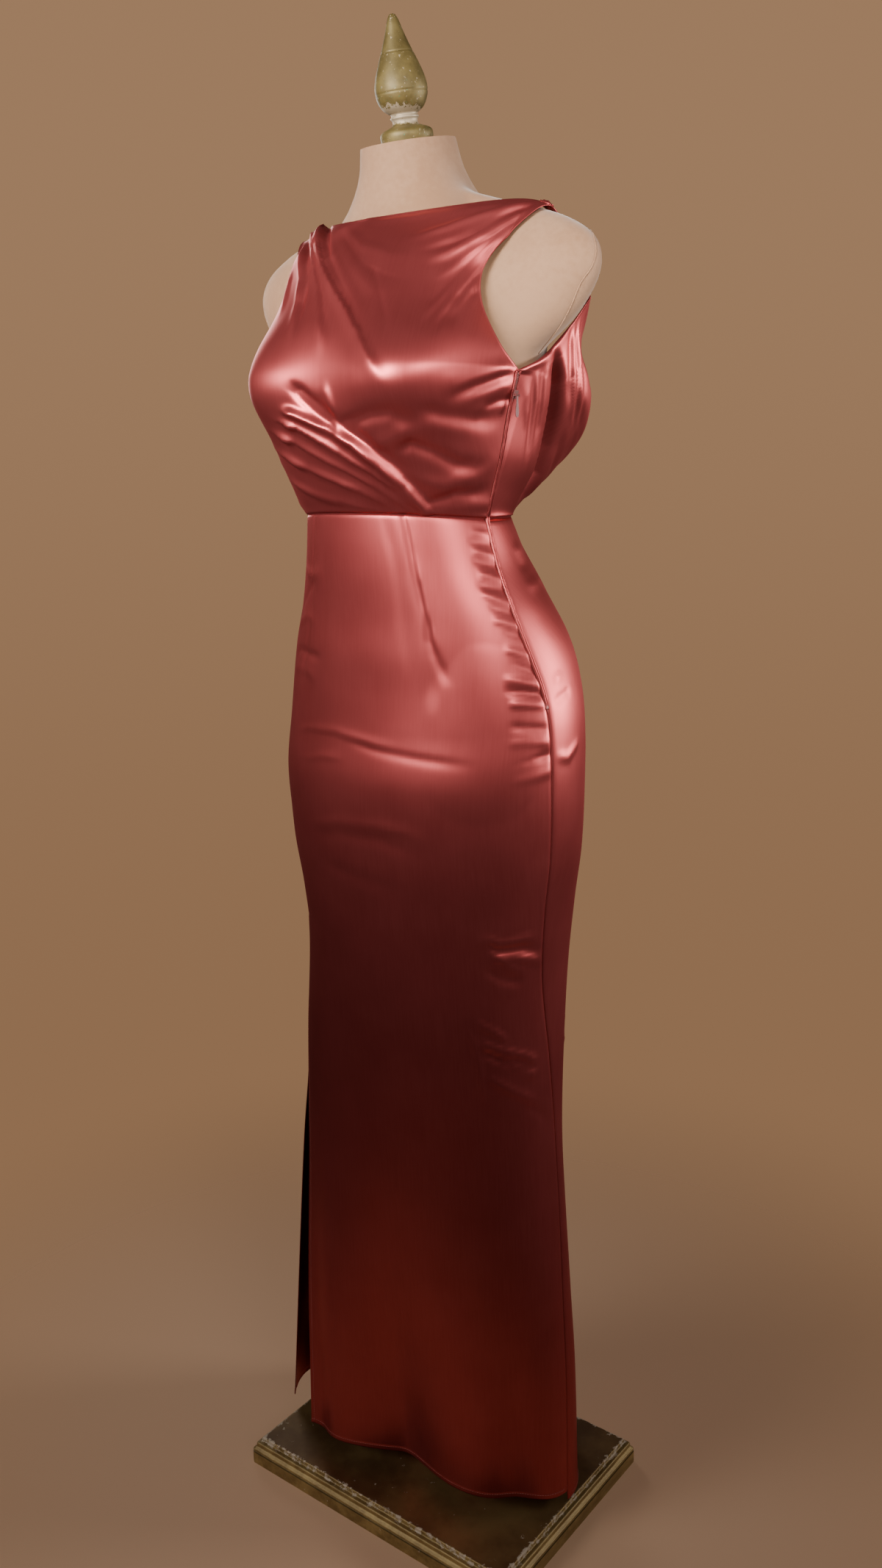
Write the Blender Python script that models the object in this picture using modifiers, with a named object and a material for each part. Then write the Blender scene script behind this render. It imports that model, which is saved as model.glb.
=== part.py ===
"""Sleeveless satin evening gown on a limbless dress form with a turned finial and a board foot.

Metres, +Z up.  The gown's front faces -Y and the wearer's left side is +X.  The origin is the
middle of the foot board's underside.  Every cloth piece is a wall drawn through sections: a section
runs from one edge of the piece, through its middle, to the other edge.
"""
import math
from collections import namedtuple

import bmesh
import bpy
from mathutils import Matrix, Vector

# ---------------------------------------------------------------- driving dimensions (metres)
WALL = 0.0014              # thickness of every cloth wall
SEAM_GAP = 0.0003          # gap between neighbouring pieces
WAIST_GAP = 0.0008         # inner gap at the waist seam, where the walls flare to both sides
SEAM_BAND = 0.0035         # height of the bodice's upright band above the waist seam
SEAM_BAND_UP = 0.02        # the same in the bodice's own "up" steps
EASE = 0.0030              # least room between the form and the cloth
WAIST_Z = 1.196            # height of the waist seam
WAIST_ARCH = 0.0095        # the waist seam's front middle lies this far above its ends
SLIT_TOP_Z = 0.736         # top of the slit in the wearer's right side seam
FRONT_HEM_Z = 0.060        # height of the front's hem
BACK_HEM_Z = 0.047         # the back hangs a little lower
FORM_BOTTOM_Z = 0.850
NECK_TOP_Z = 1.570
NECK_SLANT = math.radians(10.0)   # the cut top of the neck and the finial lean forward by this
BOARD_SIZE = (0.398, 0.292)
BOARD_HEIGHT = 0.023
RIM_STEP = 0.006           # height of each of the two steps of the board's moulded edge
RIM_STEP_IN = (0.004, 0.010)   # how far each step is set in from the board's sides
POLE_RADIUS = 0.0125
ZIP_END_Z = 1.003          # foot of the zip's opening
ZIP_TOP_Z = 1.337
ZIP_WIDTH = 0.0042
ZIP_THICK = 0.0010
SLIDER_Z = 1.317           # height of the slider on the closed zip
SLIDER_SIZE = (0.0066, 0.0085, 0.0014)   # width, length, thickness of its plate
LUG_THICK = 0.0009
LUG_LENGTH = 0.0024
LUG_OVER_PIN = 0.0010
PIN_RADIUS = 0.0005
PIN_LIFT = 0.0066          # the pin's axis above the cloth's inner face
BARREL_RADIUS = 0.00115    # the tab's barrel round the pin
BARREL_LENGTH = 0.0034
BORE_RADIUS = 0.00070
TAB_THICK = 0.0010

# ---------------------------------------------------------------- tables
# Form: level rings.  half_width/front/back are of the trunk; cap_* are of the shoulder's round end.
FormRing = namedtuple("FormRing", "z shift_x half_width widest_y front back cap_width cap_depth")
FORM_RINGS = (
    FormRing(0.850, 0.001, 0.172, 0.010, -0.114, 0.137, 0.0, 0.04),
    FormRing(0.920, 0.002, 0.176, 0.009, -0.117, 0.139, 0.0, 0.04),
    FormRing(0.980, 0.003, 0.172, 0.012, -0.110, 0.141, 0.0, 0.04),
    FormRing(1.060, 0.002, 0.158, 0.012, -0.105, 0.132, 0.0, 0.04),
    FormRing(1.120, 0.002, 0.134, 0.001, -0.105, 0.103, 0.0, 0.04),
    FormRing(1.196, -0.001, 0.110, -0.017, -0.107, 0.069, 0.0, 0.04),
    FormRing(1.260, -0.001, 0.120, -0.015, -0.112, 0.079, 0.02, 0.04),
    FormRing(1.320, 0.000, 0.139, -0.008, -0.126, 0.094, 0.09, 0.045),
    FormRing(1.355, 0.000, 0.146, -0.004, -0.124, 0.100, 0.148, 0.050),
    FormRing(1.385, 0.000, 0.147, 0.000, -0.112, 0.102, 0.190, 0.054),
    FormRing(1.415, 0.000, 0.143, 0.004, -0.097, 0.100, 0.213, 0.058),
    FormRing(1.440, 0.000, 0.136, 0.006, -0.083, 0.094, 0.220, 0.055),
    FormRing(1.462, 0.000, 0.125, 0.008, -0.071, 0.092, 0.210, 0.047),
    FormRing(1.480, 0.000, 0.108, 0.009, -0.062, 0.088, 0.182, 0.037),
    FormRing(1.494, 0.000, 0.090, 0.009, -0.056, 0.083, 0.144, 0.028),
    FormRing(1.508, 0.000, 0.075, 0.007, -0.052, 0.078, 0.097, 0.021),
    FormRing(1.524, 0.000, 0.061, 0.002, -0.050, 0.070, 0.050, 0.020),
    FormRing(1.545, 0.000, 0.050, -0.002, -0.050, 0.054, 0.040, 0.020),
    FormRing(1.570, 0.000, 0.046, -0.005, -0.050, 0.040, 0.035, 0.020),
)
BUST_LIFT = 0.026          # how far the form's bust stands out from its ring
BUST_Z = 1.330
BUST_X = 0.082

# Skirt: level rings from the waist seam to where the slit and the flare begin.
SkirtRing = namedtuple("SkirtRing", "z shift_x half_width widest_y left_seam_y right_seam_y front back")
SKIRT_RINGS = (
    SkirtRing(1.196, -0.001, 0.1145, -0.018, -0.033, -0.028, -0.1130, 0.0725),
    SkirtRing(1.150, 0.001, 0.1275, -0.009, -0.033, -0.030, -0.1120, 0.0905),
    SkirtRing(1.100, 0.003, 0.1480, 0.003, -0.031, -0.030, -0.1100, 0.1190),
    SkirtRing(1.060, 0.002, 0.1635, 0.012, -0.025, -0.030, -0.1110, 0.1390),
    SkirtRing(1.020, 0.002, 0.1730, 0.015, -0.017, -0.029, -0.1120, 0.1460),
    SkirtRing(0.980, 0.003, 0.1775, 0.013, -0.015, -0.028, -0.1150, 0.1475),
    SkirtRing(0.920, 0.002, 0.1810, 0.009, -0.017, -0.028, -0.1220, 0.1460),
    SkirtRing(0.840, 0.002, 0.1780, 0.009, -0.016, -0.028, -0.1205, 0.1425),
    SkirtRing(0.780, 0.003, 0.1690, 0.009, -0.015, -0.028, -0.1160, 0.1370),
    SkirtRing(0.700, 0.003, 0.1610, 0.009, -0.010, -0.028, -0.1105, 0.1300),
    SkirtRing(0.600, 0.004, 0.1570, 0.008, 0.006, -0.028, -0.1050, 0.1200),
    SkirtRing(0.500, 0.003, 0.1570, 0.008, 0.020, -0.028, -0.1000, 0.1150),
    SkirtRing(0.420, 0.004, 0.1600, 0.008, 0.022, -0.028, -0.0980, 0.1140),
    SkirtRing(0.300, 0.005, 0.1700, 0.006, 0.012, -0.028, -0.0955, 0.1140),
    SkirtRing(0.200, 0.006, 0.1790, 0.003, 0.003, -0.028, -0.0910, 0.1160),
    SkirtRing(0.045, 0.008, 0.1850, -0.004, -0.006, -0.028, -0.0860, 0.1220),
)
# Slit: where the free edges of front and back hang below the slit's top, on the wearer's right.
SlitRow = namedtuple("SlitRow", "z front_x front_y back_x back_y")
SLIT_ROWS = (
    SlitRow(0.736, -0.1610, -0.0280, -0.1610, -0.0275),
    SlitRow(0.700, -0.1600, -0.0320, -0.1630, -0.0230),
    SlitRow(0.600, -0.1570, -0.0440, -0.1700, -0.0240),
    SlitRow(0.500, -0.1530, -0.0550, -0.1775, -0.0300),
    SlitRow(0.420, -0.1490, -0.0630, -0.1835, -0.0360),
    SlitRow(0.250, -0.1420, -0.0830, -0.1910, -0.0480),
    SlitRow(0.045, -0.1340, -0.1000, -0.1990, -0.0620),
)
# Bodice edges on the wearer's left; the right ones mirror them.  "up" runs from 0 at the waist seam.
EdgeRow = namedtuple("EdgeRow", "up x y z")
SIDE_SEAM = (
    EdgeRow(0.00, 0.1150, -0.033, 1.1965),
    EdgeRow(0.10, 0.1220, -0.034, 1.225),
    EdgeRow(0.20, 0.1325, -0.035, 1.260),
    EdgeRow(0.30, 0.1410, -0.036, 1.300),
    EdgeRow(0.40, 0.1520, -0.036, 1.339),
)
FRONT_ARMHOLE = (
    EdgeRow(0.40, 0.1520, -0.0360, 1.339),
    EdgeRow(0.48, 0.1440, -0.0560, 1.364),
    EdgeRow(0.57, 0.1300, -0.0620, 1.400),
    EdgeRow(0.66, 0.1270, -0.0540, 1.432),
    EdgeRow(0.77, 0.1400, -0.0330, 1.461),
    EdgeRow(0.92, 0.1610, 0.0120, 1.4900),
    EdgeRow(1.00, 0.1480, 0.0180, 1.4965),
)
STRAP_ROOT_UP = 0.64       # above this the back's sections end at the root of the strap
BACK_ARMHOLE = (
    EdgeRow(0.40, 0.1520, -0.0360, 1.3390),
    EdgeRow(0.46, 0.1555, 0.0000, 1.3515),
    EdgeRow(0.52, 0.1560, 0.0310, 1.3705),
    EdgeRow(0.58, 0.1565, 0.0615, 1.3918),
    EdgeRow(0.64, 0.1565, 0.0925, 1.4171),
)
STRAP_ROOT = (
    EdgeRow(0.64, 0.1565, 0.0925, 1.4171),
    EdgeRow(0.82, 0.1515, 0.0960, 1.4130),
    EdgeRow(1.00, 0.1460, 0.0980, 1.4070),
)
SHOULDER_UPS = (0.92, 1.00)   # the front's rows whose ends are the shoulder seam
# Bodice sections: the point on the centre line, the angle that the section turns through, the
# powers that shape it (1 is an ellipse) and the height of its arch over the shoulder.
MiddleRow = namedtuple("MiddleRow", "up y z turn across_power depth_power drop_power crown")
FRONT_MIDDLE = (
    MiddleRow(0.00, -0.1145, 1.1985, 87, 0.95, 0.95, 1.0, 0.000),
    MiddleRow(0.10, -0.1250, 1.2310, 87, 0.93, 0.93, 1.0, 0.000),
    MiddleRow(0.20, -0.1380, 1.2670, 86, 0.90, 0.90, 1.0, 0.000),
    MiddleRow(0.30, -0.1470, 1.3070, 84, 0.86, 0.88, 1.0, 0.000),
    MiddleRow(0.40, -0.1490, 1.3440, 82, 0.86, 0.88, 1.0, 0.000),
    MiddleRow(0.48, -0.1420, 1.3760, 76, 0.88, 0.90, 1.0, 0.000),
    MiddleRow(0.57, -0.1260, 1.4110, 71, 0.92, 0.95, 1.0, 0.000),
    MiddleRow(0.66, -0.1120, 1.4370, 69, 0.95, 1.00, 1.0, 0.000),
    MiddleRow(0.77, -0.0960, 1.4600, 71, 1.00, 1.10, 1.0, 0.003),
    MiddleRow(0.92, -0.0780, 1.4810, 78, 1.00, 1.45, 1.0, 0.006),
    MiddleRow(1.00, -0.0700, 1.4890, 80, 1.00, 1.60, 1.0, 0.006),
)
BACK_MIDDLE = (
    MiddleRow(0.00, 0.0730, 1.1965, 93, 0.95, 0.95, 1.0, 0.000),
    MiddleRow(0.10, 0.0980, 1.2080, 93, 0.92, 0.90, 1.0, 0.000),
    MiddleRow(0.20, 0.1260, 1.2190, 92, 0.88, 0.78, 1.0, 0.000),
    MiddleRow(0.30, 0.1480, 1.2330, 90, 0.84, 0.62, 1.1, 0.000),
    MiddleRow(0.40, 0.1590, 1.2460, 88, 0.80, 0.50, 1.1, 0.000),
    MiddleRow(0.46, 0.1600, 1.2540, 86, 0.80, 0.48, 1.1, 0.000),
    MiddleRow(0.52, 0.1590, 1.2600, 80, 0.90, 0.50, 1.05, 0.000),
    MiddleRow(0.58, 0.1575, 1.2650, 70, 1.10, 0.70, 1.0, 0.000),
    MiddleRow(0.64, 0.1560, 1.2700, 62, 1.25, 0.90, 1.0, 0.000),
    MiddleRow(0.82, 0.1520, 1.2760, 60, 1.30, 1.00, 1.0, 0.000),
    MiddleRow(1.00, 0.1470, 1.2830, 60, 1.30, 1.00, 1.0, 0.000),
)
STRAP_BOW = Vector((0.0005, 0.0020, 0.0030))   # the straps bow out by this
WAIST_SHIFT_X = -0.001     # the waist sits this far to the wearer's right of the pole
RIGHT_STRAP_DRAWN_IN = 0.010   # the right strap's pleats draw its end towards the neck
CLOTH_BUST_LIFT = 0.020

# Folds.  Each is a soft ridge (+) or trough (-) along a line in the front or back view.
Fold = namedtuple("Fold", "name x0 z0 x1 z1 bow width height")
FRONT_FOLDS = (
    Fold("waist pleat, upper", -0.088, 1.346, 0.086, 1.203, 0.007, 0.0095, 0.0085),
    Fold("waist pleat, middle", -0.095, 1.318, 0.058, 1.204, 0.000, 0.0085, 0.0060),
    Fold("waist pleat, lower", -0.095, 1.284, 0.044, 1.204, -0.003, 0.0085, 0.0060),
    Fold("fold over the pleats", -0.028, 1.345, 0.008, 1.276, 0.000, 0.0100, -0.0080),
    Fold("shoulder pleat, inner ridge", -0.100, 1.487, 0.072, 1.348, 0.010, 0.0095, 0.0090),
    Fold("shoulder pleat, outer ridge", -0.108, 1.483, 0.000, 1.372, 0.014, 0.0090, 0.0080),
    Fold("shoulder pleat, armhole side", -0.128, 1.478, -0.086, 1.378, 0.004, 0.0100, 0.0060),
    Fold("armhole fold, first", 0.150, 1.474, 0.060, 1.452, -0.004, 0.0085, 0.0060),
    Fold("armhole fold, second", 0.138, 1.456, 0.050, 1.416, -0.005, 0.0085, 0.0060),
    Fold("armhole fold, third", 0.129, 1.434, 0.070, 1.376, -0.005, 0.0085, 0.0055),
)
BACK_FOLDS = (
    Fold("hollow beside the left side panel", 0.128, 1.352, 0.112, 1.222, 0.000, 0.0140, -0.0120),
    Fold("hollow beside the right side panel", -0.128, 1.352, -0.116, 1.222, 0.000, 0.0140, -0.0120),
    Fold("cowl fold, left", 0.140, 1.345, 0.010, 1.240, 0.030, 0.0160, 0.0070),
    Fold("cowl fold, right", -0.140, 1.345, -0.010, 1.240, -0.030, 0.0160, 0.0070),
)
SKIRT_FOLDS = (
    Fold("left front dart", 0.062, 1.196, 0.086, 1.075, 0.000, 0.0080, -0.0016),
    Fold("right front dart", -0.062, 1.196, -0.086, 1.075, 0.000, 0.0080, -0.0016),
)
# Flutes of the skirt's lower part: place across the piece (-1 right edge, 1 left edge).
Flute = namedtuple("Flute", "across width height start_z")
FRONT_FLUTES = (
    Flute(-0.55, 0.22, 0.016, 0.55),
    Flute(-0.02, 0.20, -0.018, 0.50),
    Flute(0.34, 0.17, 0.004, 0.45),
    Flute(0.62, 0.14, -0.010, 0.42),
)
BACK_FLUTES = (
    Flute(-0.70, 0.16, -0.012, 0.45),
    Flute(-0.38, 0.18, 0.016, 0.55),
    Flute(-0.04, 0.17, -0.014, 0.50),
    Flute(0.26, 0.16, 0.012, 0.58),
    Flute(0.58, 0.20, -0.018, 0.45),
)


# ---------------------------------------------------------------- arithmetic of tables and sections
def smooth_row(rows, key, value):
    """Row of a table at a value of its first column, with smooth cubic blending between rows."""
    keys = [row[key] for row in rows]
    rising = keys[-1] > keys[0]
    low, high = min(keys), max(keys)
    value = min(max(value, low), high)
    index = 0
    while index < len(rows) - 2 and (value > keys[index + 1]) == rising and value != keys[index + 1]:
        index += 1
    start, end = rows[index], rows[index + 1]
    before = rows[max(index - 1, 0)]
    after = rows[min(index + 2, len(rows) - 1)]
    span = keys[index + 1] - keys[index]
    t = (value - keys[index]) / span
    blended = []
    for column, (p0, p1, p2, p3) in enumerate(zip(before, start, end, after)):
        if column == key:
            blended.append(value)
            continue
        width_before = keys[index + 1] - keys[max(index - 1, 0)]
        width_after = keys[min(index + 2, len(rows) - 1)] - keys[index]
        slope_start = (p2 - p0) / width_before * span
        slope_end = (p3 - p1) / width_after * span
        t2, t3 = t * t, t * t * t
        blended.append(p1 * (2 * t3 - 3 * t2 + 1) + slope_start * (t3 - 2 * t2 + t)
                       + p2 * (3 * t2 - 2 * t3) + slope_end * (t3 - t2))
    return type(rows[0])(*blended)


def smooth_step(value, low, high):
    """0 below low, 1 above high, smooth between."""
    t = min(max((value - low) / (high - low), 0.0), 1.0)
    return t * t * (3 - 2 * t)


def signed_power(value, power):
    return math.copysign(abs(value) ** power, value)


def section_point(u, right, left, middle, row):
    """Point at u (-1 right edge, 0 middle, 1 left edge) of a section through three points."""
    turn = math.radians(row.turn)
    angle = u * turn
    across = math.sin(angle) / math.sin(turn)
    if row.across_power <= 1:
        across = signed_power(across, row.across_power)
    else:
        across += (row.across_power - 1) * (across ** 3 - across)
    rise = max((math.cos(angle) - math.cos(turn)) / (1 - math.cos(turn)), 0.0)
    edge = left if u > 0 else right
    x = middle.x + (edge.x - middle.x) * abs(across)
    y = edge.y + (middle.y - edge.y) * rise ** row.depth_power
    z = edge.z + (middle.z - edge.z) * rise ** row.drop_power + row.crown * math.sin(math.pi * u * u)
    return Vector((x, y, z))


# ---------------------------------------------------------------- form
def form_radius(angle, ring):
    """Distance from the ring's middle to the form's skin in a level direction."""
    cosine, sine = math.cos(angle), math.sin(angle)
    depth = (ring.back if sine > 0 else -ring.front) + (-ring.widest_y if sine > 0 else ring.widest_y)
    square = 2.2
    trunk = ((abs(cosine) / ring.half_width) ** square + (abs(sine) / depth) ** square) ** (-1 / square)
    if ring.cap_width < 0.03:
        return trunk
    cap = ((cosine / ring.cap_width) ** 2 + (sine / ring.cap_depth) ** 2) ** -0.5
    blend = 0.012
    return (trunk + cap + math.sqrt((trunk - cap) ** 2 + blend ** 2)) / 2


def bust_lift(x, z, front_share, lift):
    """Height of the two soft bust shapes above the plain section."""
    sides = sum(math.exp(-(((x - side * BUST_X) / 0.046) ** 2)) for side in (-1, 1))
    tall = 0.052 if z > BUST_Z else 0.044
    return lift * sides * math.exp(-(((z - BUST_Z) / tall) ** 2)) * front_share


def form_skin(angle, z):
    """Point of the form's skin at an angle round its ring."""
    ring = smooth_row(FORM_RINGS, 0, z)
    radius = form_radius(angle, ring)
    front_share = max(-math.sin(angle), 0.0)
    radius += bust_lift(radius * math.cos(angle), z, front_share, BUST_LIFT)
    return Vector((ring.shift_x + radius * math.cos(angle), ring.widest_y + radius * math.sin(angle), z))


def room_to_form(point):
    """Signed level distance from the form's skin, positive outside."""
    ring = smooth_row(FORM_RINGS, 0, point.z)
    across, along = point.x - ring.shift_x, point.y - ring.widest_y
    angle = math.atan2(along, across)
    skin = form_skin(angle, point.z)
    reach = math.hypot(skin.x - ring.shift_x, skin.y - ring.widest_y)
    return math.hypot(across, along) - reach


def lift_clear(point, room):
    """Move a point out along the skin's slope until it has this much room to the form."""
    step = 0.0008
    for _ in range(6):
        gap = room_to_form(point)
        slope = Vector((room_to_form(point + Vector((step, 0, 0))) - room_to_form(point - Vector((step, 0, 0))),
                        room_to_form(point + Vector((0, step, 0))) - room_to_form(point - Vector((0, step, 0))),
                        room_to_form(point + Vector((0, 0, step))) - room_to_form(point - Vector((0, 0, step)))))
        slope /= 2 * step
        distance = gap / max(slope.length, 1.0)
        if distance >= room:
            break
        point = point + slope.normalized() * (room - distance)
    return point


# ---------------------------------------------------------------- cloth surfaces
Point = namedtuple("Point", "x y z")


def side_point(row, side, shift_x, drawn_in):
    """End of a section on the wearer's left (side 1) or right (side -1)."""
    inward = RIGHT_STRAP_DRAWN_IN * drawn_in if side < 0 else 0.0
    return Point(shift_x + side * (row.x - inward), row.y, row.z)


def bodice_point(u, up, edge_rows, middle_rows, drawn_in):
    """Point of the bodice: up 0 to 0.4 ends on the side seams, above that on the armholes."""
    edge = smooth_row(SIDE_SEAM if up <= SIDE_SEAM[-1].up else edge_rows, 0, up)
    middle_row = smooth_row(middle_rows, 0, up)
    shift = WAIST_SHIFT_X * (1 - smooth_step(up, 0.0, 0.35))
    middle = Point(shift, middle_row.y, middle_row.z)
    right, left = (side_point(edge, side, shift, drawn_in) for side in (-1, 1))
    return section_point(u, right, left, middle, middle_row)


def fold_height(point, folds):
    """Sum of the folds' heights at a point seen in the front or back view."""
    total = 0.0
    for fold in folds:
        run = Vector((fold.x1 - fold.x0, fold.z1 - fold.z0))
        offset = Vector((point.x - fold.x0, point.z - fold.z0))
        along = offset.dot(run) / run.length_squared
        if along < -0.15 or along > 1.15:
            continue
        aside = (run.x * offset.y - run.y * offset.x) / run.length
        aside -= fold.bow * 4 * along * (1 - along)
        fade = smooth_step(along, -0.12, 0.12) * (1 - smooth_step(along, 0.80, 1.12))
        total += fold.height * math.exp(-((aside / fold.width) ** 2)) * fade
    return total


def sewn_to_skirt(point, u, up, is_front):
    """Stand the bodice's lowest band upright on the skirt's top edge and blend the rows above it."""
    seam = skirt_point(u, WAIST_Z - WAIST_GAP, is_front)
    seam.z += WAIST_GAP + SEAM_BAND * min(up / SEAM_BAND_UP, 1.0)
    return seam.lerp(point, smooth_step(up, SEAM_BAND_UP, 0.11))


def front_bodice_point(u, up):
    drawn_in = smooth_step(up, 0.60, 0.95)
    point = bodice_point(u, up, FRONT_ARMHOLE, FRONT_MIDDLE, drawn_in)
    lift = bust_lift(point.x, point.z, 1.0, CLOTH_BUST_LIFT)
    lift += fold_height(point, FRONT_FOLDS)
    outward = Vector((point.x, point.y * 1.3, 0.0)).normalized()
    return sewn_to_skirt(lift_clear(point + outward * lift, EASE), u, up, True)


def strap_point(u, up):
    """Point of the strap: u beyond -1 or 1 runs from the strap's root to the shoulder seam."""
    side = math.copysign(1, u)
    along = abs(u) - 1
    across = (up - STRAP_ROOT_UP) / (1 - STRAP_ROOT_UP)
    shoulder_up = SHOULDER_UPS[0] + (SHOULDER_UPS[1] - SHOULDER_UPS[0]) * across
    root = Vector(side_point(smooth_row(STRAP_ROOT, 0, up), side, 0.0, 0.0))
    shoulder = Vector(side_point(smooth_row(FRONT_ARMHOLE, 0, shoulder_up), side, 0.0, 1.0))
    return root.lerp(shoulder, along) + STRAP_BOW * (4 * along * (1 - along))


def back_bodice_point(u, up):
    if abs(u) > 1:
        return lift_clear(strap_point(u, up), EASE) if up >= STRAP_ROOT_UP else None
    edge_rows = BACK_ARMHOLE if up <= STRAP_ROOT_UP else STRAP_ROOT
    point = bodice_point(u, up, edge_rows, BACK_MIDDLE, 0.0)
    outward = Vector((point.x, point.y * 1.3, 0.0)).normalized()
    lift = fold_height(point, BACK_FOLDS) * (1 - abs(u) ** 12)
    return sewn_to_skirt(lift_clear(point + outward * lift, EASE), u, up, False)


def flute_height(u, z, flutes):
    """Depth of the flutes, growing from where each starts down to the hem."""
    total = 0.0
    for flute in flutes:
        growth = 1 - smooth_step(z, BACK_HEM_Z, flute.start_z)
        total += flute.height * growth * math.exp(-(((u - flute.across) / flute.width) ** 2))
    return total


def skirt_point(u, z, is_front):
    """Point of the skirt's front or back, u from the wearer's right edge to the left one."""
    ring = smooth_row(SKIRT_RINGS, 0, z)
    depth_y = ring.front if is_front else ring.back
    reach = depth_y - ring.widest_y
    left_share = (ring.left_seam_y - ring.widest_y) / reach
    right_share = (ring.right_seam_y - ring.widest_y) / reach
    left = Point(ring.shift_x + ring.half_width * math.sqrt(1 - left_share ** 2), ring.left_seam_y, z)
    right = Point(ring.shift_x - ring.half_width * math.sqrt(1 - right_share ** 2), ring.right_seam_y, z)
    if z < SLIT_TOP_Z:
        slit = smooth_row(SLIT_ROWS, 0, z)
        right = Point(slit.front_x, slit.front_y, z) if is_front else Point(slit.back_x, slit.back_y, z)
        right_share = (right.y - ring.widest_y) / reach
    share = left_share if u > 0 else right_share
    turn = math.acos(min(max(share, -0.6), 0.6))
    row = MiddleRow(0.0, depth_y, z, math.degrees(turn), 0.97, 0.97, 1.0, 0.0)
    point = section_point(u, right, left, Point(ring.shift_x, depth_y, z), row)
    flutes = FRONT_FLUTES if is_front else BACK_FLUTES
    edge_fade = 1 - abs(u) ** 6
    lift = flute_height(u, z, flutes) * edge_fade
    if is_front:
        lift += fold_height(point, SKIRT_FOLDS)
        arch = WAIST_ARCH * (1 - u * u) * smooth_step(z, WAIST_Z - 0.12, WAIST_Z)
        point = point + Vector((0.0, 0.0, arch))
    outward = Vector((point.x, point.y * 1.4, 0.0)).normalized()
    point = point + outward * lift
    return lift_clear(point, EASE) if z > FORM_BOTTOM_Z else point


# ---------------------------------------------------------------- mesh helpers
def new_collection(name):
    collection = bpy.data.collections.new(name)
    bpy.context.scene.collection.children.link(collection)
    return collection


def new_material(name, colour, roughness, metallic=0.0):
    material = bpy.data.materials.new(name)
    material.use_nodes = True
    shader = material.node_tree.nodes["Principled BSDF"]
    shader.inputs["Base Color"].default_value = (*colour, 1.0)
    shader.inputs["Roughness"].default_value = roughness
    shader.inputs["Metallic"].default_value = metallic
    return material


def new_object(name, mesh, material, collection):
    thing = bpy.data.objects.new(name, mesh)
    thing.data.materials.append(material)
    collection.objects.link(thing)
    if collection.name == "cutters":
        thing.hide_render = True
        thing.display_type = "WIRE"
    return thing


def mesh_from_grid(name, rows, closed_round):
    """Quads between rows of points, none where a point is missing.

    A closed grid joins each row's end to its start and has its two end rows filled.
    """
    builder = bmesh.new()
    grid = [[point and builder.verts.new(point) for point in row] for row in rows]
    columns = len(rows[0])
    for lower, upper in zip(grid, grid[1:]):
        for index in range(columns if closed_round else columns - 1):
            following = (index + 1) % columns
            corners = (lower[index], lower[following], upper[following], upper[index])
            if all(corners):
                builder.faces.new(corners)
    if closed_round:
        builder.faces.new(reversed(grid[0]))
        builder.faces.new(grid[-1])
        bmesh.ops.recalc_face_normals(builder, faces=builder.faces)
    mesh = bpy.data.meshes.new(name)
    builder.to_mesh(mesh)
    builder.free()
    mesh.shade_smooth()
    return mesh


def even_steps(low, high, count):
    return [low + (high - low) * step / count for step in range(count + 1)]


def cloth_sheet(name, point_at, columns, levels, face_out, material, collection):
    """A cloth wall: an open grid of points with Solidify on its outer side.

    The ends of each row are drawn in by a seam gap so that neighbours don't touch.
    """
    points = []
    for level in levels:
        line = [point_at(column, level) for column in columns]
        present = [index for index, point in enumerate(line) if point]
        for index, inner in ((present[0], present[1]), (present[-1], present[-2])):
            line[index] = line[index] + (line[inner] - line[index]).normalized() * SEAM_GAP
        points.append(line if face_out else line[::-1])
    sheet = new_object(name, mesh_from_grid(name, points, False), material, collection)
    wall = sheet.modifiers.new("wall", "SOLIDIFY")
    wall.thickness = WALL
    wall.offset = 1.0
    wall.use_even_offset = False


# ---------------------------------------------------------------- the pieces
def build_form(material, collection):
    """Trunk, shoulder ends and neck as one smooth closed skin, its neck cut on a slant."""
    levels = [0.850, 0.885, 0.920, 0.980, 1.040, 1.090, 1.140, 1.196, 1.240, 1.280, 1.310, 1.335, 1.358,
              1.380, 1.400, 1.418, 1.434, 1.449, 1.463, 1.475, 1.486, 1.496, 1.506, 1.517, 1.531, 1.548, 1.570]
    around = 36
    rows = []
    for z in levels:
        ring = smooth_row(FORM_RINGS, 0, z)
        width = max(ring.half_width, ring.cap_width)
        line = []
        for step in range(around):
            turn = 2 * math.pi * step / around
            depth = ring.back - ring.widest_y if math.sin(turn) > 0 else ring.widest_y - ring.front
            point = form_skin(math.atan2(depth * math.sin(turn), width * math.cos(turn)), z)
            slant = math.tan(NECK_SLANT) * smooth_step(z, 1.515, NECK_TOP_Z)
            point.z += slant * (point.y - ring.widest_y)
            line.append(point)
        rows.append(line)
    return new_object("form_torso", mesh_from_grid("form_torso", rows, True), material, collection)


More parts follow.
